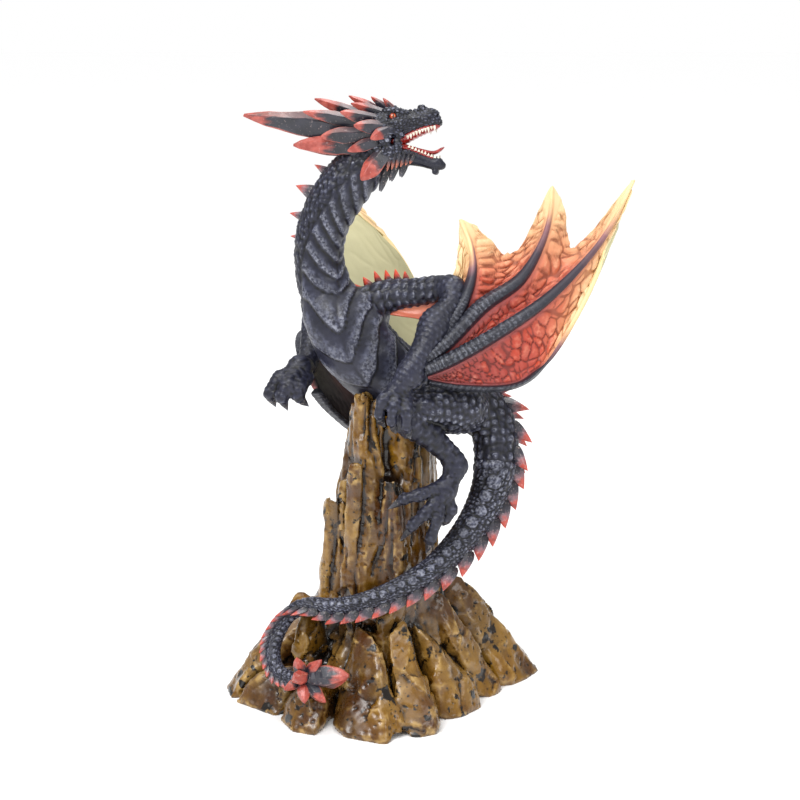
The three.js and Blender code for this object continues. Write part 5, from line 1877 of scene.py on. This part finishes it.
class Effects:
    """Shader groups that several finishes share."""

    def __init__(self) -> None:
        """Builds each group once."""
        self.wash_and_shade = self.build_wash_and_shade()
        self.brush = self.build_brush()
        self.spatter = self.build_spatter()
        self.grain = self.build_grain()

    @staticmethod
    def build_wash_and_shade() -> bpy.types.NodeTree:
        """Darkens hollows towards a given colour: a dark wash on the hide and in the rock's hollows, and painted shade
        in the wing webs and the rock's deep crevices.
        """
        tree, source, sink = new_group(
            "Wash",
            [("Color", "Color", (1, 1, 1, 1)), ("Hollow", "Float", 0.5), ("Wash", "Color", (0, 0, 0, 1)),
             ("Start", "Float", 0.55), ("End", "Float", 0.8), ("Strength", "Float", 1.0)],
            [("Color", "Color")],
        )
        wires, given = Wires(tree), source.outputs
        uneven = wires.maths("MULTIPLY_ADD", wires.speck(300.0), 0.16, wires.maths("ADD", given["Hollow"], -0.08))
        depth = wires.maths("MULTIPLY", wires.span(uneven, given["Start"], given["End"]), given["Strength"])
        wires.put(wires.mix(depth, given["Color"], given["Wash"]), sink.inputs["Color"])
        return tree

    @staticmethod
    def build_brush() -> bpy.types.NodeTree:
        """Light paint dragged over the high places with a dry brush."""
        tree, source, sink = new_group(
            "Dry brush",
            [("Color", "Color", (1, 1, 1, 1)), ("Relief", "Float", 0.5), ("Brush", "Color", (1, 1, 1, 1)),
             ("Start", "Float", 0.6), ("End", "Float", 1.0), ("Strength", "Float", 1.0), ("Scale", "Float", 900.0)],
            [("Color", "Color")],
        )
        wires, given = Wires(tree), source.outputs
        grainy = wires.span(wires.speck(given["Scale"], 5.0), 0.38, 0.66)
        patchy = wires.span(wires.speck(90.0, 2.0), 0.3, 0.7, (0.45, 1.0))
        high = wires.span(given["Relief"], given["Start"], given["End"])
        amount = wires.maths("MULTIPLY", wires.maths("MULTIPLY", high, grainy), patchy)
        amount = wires.maths("MULTIPLY", amount, given["Strength"])
        wires.put(wires.mix(amount, given["Color"], given["Brush"]), sink.inputs["Color"])
        return tree

    @staticmethod
    def build_spatter() -> bpy.types.NodeTree:
        """Small uneven spots of dark paint."""
        tree, source, sink = new_group(
            "Spatter",
            [("Color", "Color", (1, 1, 1, 1)), ("Spot", "Color", (0, 0, 0, 1)), ("Scale", "Float", 400.0),
             ("Amount", "Float", 0.62)],
            [("Color", "Color")],
        )
        wires, given = Wires(tree), source.outputs
        fine = wires.speck(given["Scale"], 3.0)
        broad = wires.span(wires.speck(60.0, 2.0), 0.35, 0.65, (-0.08, 0.05))
        spot = wires.maths("ADD", fine, broad)
        share = wires.span(spot, given["Amount"], wires.maths("ADD", given["Amount"], 0.05))
        wires.put(wires.mix(share, given["Color"], given["Spot"]), sink.inputs["Color"])
        return tree

    @staticmethod
    def build_grain() -> bpy.types.NodeTree:
        """Fine unevenness of a cast and painted skin, for bumps and roughness."""
        tree, source, sink = new_group("Grain", [("Scale", "Float", 1200.0)], [("Height", "Float")])
        wires = Wires(tree)
        coarse = wires.speck(wires.maths("MULTIPLY", source.outputs["Scale"], 0.25), 2.0)
        fine = wires.speck(source.outputs["Scale"], 3.0)
        wires.put(wires.maths("MULTIPLY_ADD", fine, 0.5, coarse), sink.inputs["Height"])
        return tree


@dataclass(frozen=True)
class Varnish:
    """How glossy a finish is, and how rough its grain."""

    roughness: float = 0.42
    spread: float = 0.12
    coat: float = 0.2
    coat_roughness: float = 0.25
    specular: float = 0.5
    grain: float = 1200.0
    bump: float = 0.12
    subsurface: float = 0.0


class Paints:
    """Every finish of the figure."""

    SLATE = "34353f"
    GREY = "9a9ca6"
    CORAL = "de5f4e"

    def __init__(self) -> None:
        """Mixes every finish."""
        self.effects = Effects()
        self.hide = self.mix_hide("dragon_hide", 0.8)
        self.head = self.mix_hide("head_hide", 0.95)
        self.horn = self.mix_blade("horn_paint", 0.78)
        self.club = self.mix_blade("club_paint", 0.66)
        self.spike = self.mix_tipped("spike_paint", (
            (0.0, "17181f"), (0.32, "3a3842"), (0.48, "85636a"), (0.64, "b54b40"), (1.0, "c0513f"),
        ))
        self.ember = self.mix_tipped("ember_spike_paint", (
            (0.0, "17181f"), (0.3, "5a1d16"), (0.5, "c43b24"), (1.0, "dc5636"),
        ))
        self.rib = self.mix_tipped("rib_paint", (
            (0.0, "1a1b22"), (0.5, "3a3740"), (0.78, "a8604c"), (1.0, "cf7356"),
        ))
        self.slate = self.mix_tipped("slate_paint", ((0.0, "15161c"), (0.6, "22232b"), (0.9, "45464f"), (1.0, "55565f")))
        self.claw = self.mix_tipped("claw_paint", ((0.0, "17181e"), (0.5, "2c2d36"), (0.9, "63656e"), (1.0, "74757d")))
        self.web = self.mix_web()
        self.arm_web = self.mix_arm_web()
        self.rock = self.mix_rock()
        self.tooth = self.mix_plain("tooth_enamel", "f3efe2", "cdb79a", Varnish(0.28, 0.06, 0.4, 0.15))
        self.gum = self.mix_plain("gum_paint", "a3221c", "5a100f", Varnish(0.25, 0.08, 0.6, 0.12, grain=1500))
        self.eye = self.mix_eye()

    def start(self, name: str, varnish: Varnish) -> tuple[bpy.types.Material, Wires, bpy.types.Node]:
        """A new material with its gloss and grain.

        Args:
            name: the material's name.
            varnish: its gloss and grain.

        Returns:
            The material, its wires and its shader.
        """
        material = bpy.data.materials.new(name)
        material.use_nodes = True
        wires = Wires(material.node_tree)
        shader = material.node_tree.nodes["Principled BSDF"]
        height = wires.group(self.effects.grain, Scale=varnish.grain)
        low, high = varnish.roughness - varnish.spread, varnish.roughness + varnish.spread
        wires.put(wires.span(height, 0.4, 1.1, (low, high)), shader.inputs["Roughness"])
        bump = material.node_tree.nodes.new("ShaderNodeBump")
        bump.inputs["Strength"].default_value = varnish.bump
        bump.inputs["Distance"].default_value = 0.0004
        wires.put(height, bump.inputs["Height"])
        wires.put(bump.outputs["Normal"], shader.inputs["Normal"])
        shader.inputs["Coat Weight"].default_value = varnish.coat
        shader.inputs["Coat Roughness"].default_value = varnish.coat_roughness
        shader.inputs["Specular IOR Level"].default_value = varnish.specular
        return material, wires, shader

    def mix_hide(self, name: str, strength: float) -> bpy.types.Material:
        """Slate skin with a black wash in its grooves and grey dry brushing on its scales."""
        material, wires, shader = self.start(name, Varnish(0.42, 0.12, 0.12, 0.3, specular=0.35, bump=0.22))
        relief, hollow = wires.layer("relief"), wires.layer("hollow")
        tone = wires.span(wires.speck(45.0, 3.0), 0.3, 0.7)
        base = wires.mix(tone, colour("191a26"), colour("272838"))
        washed = wires.group(self.effects.wash_and_shade, Color=base, Hollow=hollow, Wash=colour("050507"), Start=0.5, End=0.74)
        low = wires.span(relief, 0.02, 0.4, (0.85, 0.0))
        washed = wires.mix(low, washed, colour("060609"))
        ridge = wires.maths("SUBTRACT", 1.0, hollow)
        peak = wires.maths("MULTIPLY_ADD", ridge, 0.62, wires.maths("MULTIPLY", relief, 0.45))
        brushed = wires.group(
            self.effects.brush, Color=washed, Relief=peak, Brush=colour("525568"), Start=0.54, End=0.76,
            Strength=strength, Scale=420.0,
        )
        brushed = wires.group(
            self.effects.brush, Color=brushed, Relief=peak, Brush=colour("a5a8b6"), Start=0.68, End=0.92,
            Strength=strength * 0.8, Scale=800.0,
        )
        wires.put(brushed, shader.inputs["Base Color"])
        return material

    def mix_tipped(self, name: str, stops: Sequence[tuple[float, str]]) -> bpy.types.Material:
        """Paint that turns from the root to the tip of a spike, horn or blade."""
        material, wires, shader = self.start(name, Varnish(0.4, 0.1, 0.25, 0.25, grain=900, bump=0.2))
        tip, edge = wires.layer("tip"), wires.layer("edge")
        streaks = wires.speck(520.0, 4.0)
        moved = wires.maths("MULTIPLY_ADD", wires.maths("SUBTRACT", streaks, 0.5), 0.42, tip)
        moved = wires.maths("MULTIPLY_ADD", wires.maths("SUBTRACT", edge, 0.5), 0.2, moved)
        base = wires.ramp(moved, stops)
        worn = wires.mix(wires.span(wires.speck(1100.0, 5.0), 0.56, 0.72, (0.0, 0.35)), base, colour("d9c3bd"))
        dark = wires.mix(wires.span(wires.speck(330.0, 3.0), 0.36, 0.48, (0.45, 0.0)), worn, colour("2a2328"))
        wires.put(dark, shader.inputs["Base Color"])
        return material

    def mix_blade(self, name: str, warmth: float) -> bpy.types.Material:
        """Slate under-faces, dusky upper faces and coral tips and rims; the lighter upper faces are painted light and
        the dark under-faces painted shade.

        Args:
            name: the material's name.
            warmth: how far from the root the coral starts.

        Returns:
            The material.
        """
        material, wires, shader = self.start(name, Varnish(0.38, 0.1, 0.25, 0.25, grain=900, bump=0.25))
        tip, edge, chance = wires.layer("tip"), wires.layer("edge"), wires.layer("chance")
        streaks = wires.maths("SUBTRACT", wires.speck(420.0, 4.0, (0.35, 1, 1)), 0.5)
        moved = wires.maths("MULTIPLY_ADD", streaks, 0.5, tip)
        slate = wires.mix(wires.span(wires.speck(160.0, 3.0), 0.35, 0.7), colour("191a23"), colour("2b2b37"))
        dusky = wires.ramp(moved, ((0.0, "1d1d26"), (0.35, "41363d"), (0.7, "6f4d4b"), (1.0, "94574a")))
        # Painted light and shade: the upper half of each blade takes the lighter dusky tone and the lower half stays
        # dark slate.
        upper = wires.span(wires.maths("MULTIPLY_ADD", streaks, 0.2, edge), 0.62, 0.74)
        base = wires.mix(upper, slate, dusky)
        start = wires.maths("MULTIPLY_ADD", chance, -0.4, warmth)
        coral = wires.mix(wires.span(wires.speck(300.0, 4.0), 0.35, 0.65), colour("96392e"), colour("b5564a"))
        rim = wires.span(wires.maths("ABSOLUTE", wires.maths("MULTIPLY_ADD", edge, 2.0, -1.0)), 0.9, 1.0, (0.0, 0.22))
        near_tip = wires.span(wires.maths("ADD", moved, rim), start, wires.maths("ADD", start, 0.2))
        base = wires.mix(near_tip, base, coral)
        rims = wires.maths("MULTIPLY", wires.span(rim, 0.12, 0.22), wires.span(tip, 0.2, 0.5, (0.1, 0.75)))
        base = wires.mix(wires.maths("MULTIPLY", rims, 0.6), base, colour("a8604c"))
        base = wires.mix(wires.span(wires.speck(900.0, 5.0), 0.6, 0.72, (0.0, 0.3)), base, colour("c9b3ae"))
        wires.put(base, shader.inputs["Base Color"])
        return material

    def mix_plain(self, name: str, main: str, shade: str, varnish: Varnish) -> bpy.types.Material:
        """One colour with a softer, darker tone in patches."""
        material, wires, shader = self.start(name, varnish)
        patches = wires.span(wires.speck(420.0, 3.0), 0.35, 0.7)
        base = wires.mix(patches, colour(shade), colour(main))
        wires.put(wires.mix(0.5, base, colour(main)), shader.inputs["Base Color"])
        return material

    def mix_web(self) -> bpy.types.Material:
        """Webs from red through coral to cream, with dark fingers that fade to horn at their tips; painted shade
        darkens the cracks between the cells and the inner faces.
        """
        material, wires, shader = self.start("wing_web_paint", Varnish(0.46, 0.1, 0.08, 0.3, specular=0.35, bump=0.15))
        reach, ridge, relief = wires.layer("reach"), wires.layer("ridge"), wires.layer("relief")
        chance, hollow, inner = wires.layer("chance"), wires.layer("hollow"), wires.layer("inner")
        strip = wires.layer("strip")
        drift = wires.maths("MULTIPLY_ADD", wires.maths("SUBTRACT", wires.speck(70.0, 3.0), 0.5), 0.16, reach)
        web = wires.ramp(drift, (
            (0.0, "662a28"), (0.22, "9c3f38"), (0.42, "b44a3b"), (0.56, "c9694d"), (0.68, "d8936a"), (0.8, "e5b586"),
            (1.0, "eccb9b"),
        ))
        hot = wires.maths("MULTIPLY", wires.span(chance, 0.55, 0.95), wires.span(reach, 0.75, 0.5))
        web = wires.mix(wires.maths("MULTIPLY", hot, 0.6), web, colour("b93d22"))
        pinkish = wires.maths("MULTIPLY", wires.maths("SUBTRACT", 1.0, strip), wires.span(reach, 0.8, 0.35, (0.0, 0.5)))
        web = wires.mix(pinkish, web, colour("b06668"))
        # Painted shade: the cracks between the cells, and the web's hollows through the wash-and-shade group, are
        # darkened towards this crack colour.
        crack = wires.ramp(reach, ((0.0, "3d1616"), (0.5, "7a2f26"), (0.75, "a05f3c"), (1.0, "b98f5c")))
        grooves = wires.maths("MULTIPLY", wires.span(relief, 0.3, 0.0), strip)
        web = wires.mix(wires.maths("MULTIPLY", grooves, 0.6), web, crack)
        web = wires.group(self.effects.wash_and_shade, Color=web, Hollow=hollow, Wash=crack, Start=0.52, End=0.82, Strength=0.65)
        light = wires.ramp(reach, ((0.0, "b86a60"), (0.5, "dd8a6c"), (0.75, "f0c496"), (1.0, "f8e3bb")))
        web = wires.group(
            self.effects.brush, Color=web, Relief=relief, Brush=light, Start=0.6, End=1.0, Strength=0.7, Scale=500.0,
        )
        # Painted shade on the inner faces: olive where the cream lies in shade, and near black towards the wrist where
        # shadow falls under the arm.
        shaded_inner_face = wires.ramp(drift, (
            (0.0, "16161b"), (0.22, "241a1c"), (0.34, "5a2c24"), (0.46, "8f8468"), (0.62, "aaa684"), (1.0, "c5bf97"),
        ))
        web = wires.mix(inner, web, shaded_inner_face)
        finger = wires.ramp(drift, (
            (0.0, "1b1c25"), (0.5, "23242e"), (0.62, "3a303b"), (0.74, "8a6064"), (0.84, "cf9d78"), (0.92, "e9c893"),
            (1.0, "efd9a2"),
        ))
        brushed = wires.maths("MULTIPLY", wires.span(relief, 0.6, 1.0), wires.span(reach, 0.7, 0.3))
        finger = wires.group(
            self.effects.brush, Color=finger, Relief=brushed, Brush=colour("7d808c"), Start=0.2, End=0.9,
            Strength=0.6, Scale=900.0,
        )
        edge = wires.span(wires.maths("MULTIPLY_ADD", wires.speck(260.0, 3.0), 0.25, ridge), 0.4, 0.85)
        wires.put(wires.mix(edge, web, finger), shader.inputs["Base Color"])
        return material

    def mix_arm_web(self) -> bpy.types.Material:
        """The smooth peach and orange webs of the arms."""
        material, wires, shader = self.start("arm_web_paint", Varnish(0.4, 0.1, 0.2, 0.25))
        share = wires.maths("MULTIPLY_ADD", wires.maths("SUBTRACT", wires.speck(60.0, 3.0), 0.5), 0.4, wires.layer("reach"))
        base = wires.ramp(share, ((0.0, "3a1c1c"), (0.25, "a84c3c"), (0.6, "d27a5a"), (1.0, "c96246")))
        wires.put(base, shader.inputs["Base Color"])
        return material

    def mix_rock(self) -> bpy.types.Material:
        """Glossy ochre stone with dark wash, painted shade deep in the crevices between the boulders, golden high
        places and dark spatter.
        """
        material, wires, shader = self.start("rock_paint", Varnish(0.28, 0.12, 0.4, 0.15, specular=0.4, grain=500, bump=0.3))
        relief, hollow, deep = wires.layer("relief"), wires.layer("hollow"), wires.layer("deep")
        tone = wires.span(wires.speck(26.0, 4.0), 0.34, 0.66)
        streak = wires.span(wires.speck(90.0, 4.0, (1.0, 1.0, 0.2)), 0.38, 0.62)
        base = wires.mix(tone, colour("42290c"), colour("805a10"))
        base = wires.mix(wires.maths("MULTIPLY", streak, 0.55), base, colour("4a260f"))
        patch = wires.span(wires.speck(34.0, 5.0, (1.0, 1.0, 0.6)), 0.5, 0.62)
        base = wires.mix(wires.maths("MULTIPLY", patch, 0.5), base, colour("8a6a36"))
        base = wires.group(
            self.effects.brush, Color=base, Relief=wires.maths("SUBTRACT", 1.0, hollow), Brush=colour("bd9a5c"),
            Start=0.54, End=0.76, Strength=0.8, Scale=200.0,
        )
        base = wires.group(self.effects.spatter, Color=base, Spot=colour("130d07"), Scale=150.0, Amount=0.6)
        base = wires.group(self.effects.spatter, Color=base, Spot=colour("15100a"), Scale=480.0, Amount=0.66)
        base = wires.group(
            self.effects.wash_and_shade, Color=base, Hollow=hollow, Wash=colour("120a05"), Start=0.53, End=0.76, Strength=0.95,
        )
        # Painted shade: near black in the deep crevices between the boulders, over the dark wash in the hollows.
        base = wires.group(
            self.effects.wash_and_shade, Color=base, Hollow=deep, Wash=colour("0c0704"), Start=0.51, End=0.7, Strength=0.94,
        )
        low = wires.span(relief, 0.1, 0.42, (0.5, 0.0))
        wires.put(wires.mix(low, base, colour("2a180a")), shader.inputs["Base Color"])
        return material

    def mix_eye(self) -> bpy.types.Material:
        """A glossy orange eye with a black slit and a dark rim."""
        material, wires, shader = self.start("eye_paint", Varnish(0.15, 0.04, 0.8, 0.05, bump=0.02))
        gaze, slit = wires.layer("gaze"), wires.layer("slit")
        iris = wires.ramp(gaze, ((0.0, "1d0a06"), (0.6, "7a220d"), (0.85, "b8421a"), (0.97, "c96a22"), (1.0, "cf7c2a")))
        pupil = wires.maths("MULTIPLY", wires.span(slit, 0.2, 0.13), wires.span(gaze, 0.84, 0.9))
        wires.put(wires.mix(pupil, iris, colour("050304")), shader.inputs["Base Color"])
        return material


# ---------------------------------------------------------------- studio


@dataclass(frozen=True)
class Studio:
    """The floor, the soft lights and the camera."""

    target: tuple[float, float, float] = (9.88, 0.0, 150.65)
    distance: float = 900.0
    elevation: float = 14.0
    lens: float = 81.015
    ambient: float = 0.45

    def build(self) -> None:
        """Sets up everything around the figure."""
        self.build_floor()
        self.build_lights()
        self.build_camera()

    def build_floor(self) -> None:
        """A plain pale floor."""
        mesh = bpy.data.meshes.new("floor")
        half = 6.0
        mesh.from_pydata([(-half, -half, 0), (half, -half, 0), (half, half, 0), (-half, half, 0)], [], [(0, 1, 2, 3)])
        material = bpy.data.materials.new("floor_paper")
        material.use_nodes = True
        shader = material.node_tree.nodes["Principled BSDF"]
        shader.inputs["Base Color"].default_value = (0.93, 0.93, 0.93, 1)
        shader.inputs["Roughness"].default_value = 0.9
        mesh.materials.append(material)
        floor = bpy.data.objects.new("floor", mesh)
        bpy.context.collection.objects.link(floor)

    def build_lights(self) -> None:
        """Large soft lights: key from the upper left, fill from the right, and one from above."""
        world = bpy.data.worlds.new("studio")
        world.use_nodes = True
        nodes, links = world.node_tree.nodes, world.node_tree.links
        nodes["Background"].inputs["Color"].default_value = (1, 1, 1, 1)
        ray = nodes.new("ShaderNodeLightPath")
        level = nodes.new("ShaderNodeMapRange")
        level.inputs["To Min"].default_value = self.ambient
        level.inputs["To Max"].default_value = 1.0
        links.new(ray.outputs["Is Camera Ray"], level.inputs["Value"])
        links.new(level.outputs["Result"], nodes["Background"].inputs["Strength"])
        bpy.context.scene.world = world
        for name, place, size, power in (
            ("key", (-0.5, -0.8, 1.0), 0.5, 7.0),
            ("fill", (0.9, -0.9, 0.7), 0.5, 3.0),
            ("top", (0.15, 0.25, 1.2), 0.5, 5.0),
        ):
            light = bpy.data.lights.new(name, "AREA")
            light.size = size
            light.energy = power
            lamp = bpy.data.objects.new(name, light)
            lamp.location = place
            lamp.rotation_euler = (Vector((0, 0, 0.15)) - Vector(place)).to_track_quat("-Z", "Y").to_euler()
            bpy.context.collection.objects.link(lamp)
        sun = bpy.data.lights.new("sky", "SUN")
        sun.energy = 2.2
        sun.angle = math.radians(80)
        lamp = bpy.data.objects.new("sky", sun)
        lamp.rotation_euler = (math.radians(18), math.radians(-12), 0)
        bpy.context.collection.objects.link(lamp)
        bpy.context.scene.view_settings.view_transform = "Standard"

    def build_camera(self) -> None:
        """The camera, a little above the figure and square on to it."""
        data = bpy.data.cameras.new("camera")
        data.lens = self.lens
        data.sensor_width = 36.0
        data.clip_start, data.clip_end = 0.05, 20.0
        camera = bpy.data.objects.new("camera", data)
        target = Vector(self.target) * MM
        angle = math.radians(self.elevation)
        away = Vector((0, -math.cos(angle), math.sin(angle)))
        camera.location = target + away * self.distance * MM
        camera.rotation_euler = (-away).to_track_quat("-Z", "Y").to_euler()
        bpy.context.collection.objects.link(camera)
        bpy.context.scene.camera = camera


# ---------------------------------------------------------------- the figure


NECK_ROW = BackRow(0.5, 2.45, 5, 8, 2.6, 0.0, (0.6, 0.7, 1.05, 0.7, 0.5))
HIP_ROWS = BackRow(10.1, 11.8, 4, 13.5, 3.5, 0.95, (0.9, 0.9), (-0.4, 0.4))
TAIL_ROW = BackRow(12.15, 24.5, 34, 13, 3.9, 1.0, (1.0, 0.75, 0.5, 0.36), crowding=1.22)
ARM_ROW = BackRow(0.8, 1.85, 6, 5.5, 1.7, -0.15, (1.0, 0.8))


def build_spikes(paints: Paints) -> None:
    """The rows of spikes down the back, the tail and the near arm."""
    spine = Path(SPINE)
    rows = NECK_ROW.roots(spine) + HIP_ROWS.roots(spine) + TAIL_ROW.roots(spine)
    SpikeRow("back_spikes", paints.spike, rows, spike_shape(0.4, 0.7), 0.05, 7).build()
    arm = ARM_ROW.roots(Path(NEAR_ARM)) + ARM_ROW.roots(Path(FAR_ARM))
    SpikeRow("arm_spikes", paints.ember, arm, spike_shape(0.2, 0.6), 0.08, 5).build()


def build_club(paints: Paints) -> None:
    """The faceted club at the end of the tail."""
    rows = [[list(CLUB_CENTRE), tip, root, width, thick, 0.6] for tip, root, width, thick in CLUB_BLADES]
    blades_piece("tail_club", rows, lambda points: points, paints.club, 0.1, 0.34)


def main() -> None:
    """Builds the studio and every piece of the figure, in order."""
    logging.basicConfig(level=logging.INFO, format="%(message)s")
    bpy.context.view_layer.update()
    Studio().build()
    paints = Paints()
    Rock(paints.rock).build()
    Hide(paints.hide, paints.claw).build()
    Tail(paints.hide).build()
    Head(paints.head, paints).build()
    build_spikes(paints)
    build_club(paints)
    Wing(Side.NEAR, NEAR_FINGERS, (2, 5, -3), paints.web).build()
    Wing(Side.FAR, FAR_FINGERS, (5, 0, -2), paints.web).build()
    ArmWeb("near_arm_web", (0, 0, 195), (35, -11, 207), (15, -30, 175), (3, 4, -2), paints.arm_web).build()
    ArmWeb("far_arm_web", (-22, 10, 192), (-27, 38, 206), (-37, 8, 170), (3, -2, -2), paints.arm_web).build()
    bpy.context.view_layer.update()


if __name__ == "__main__":
    main()
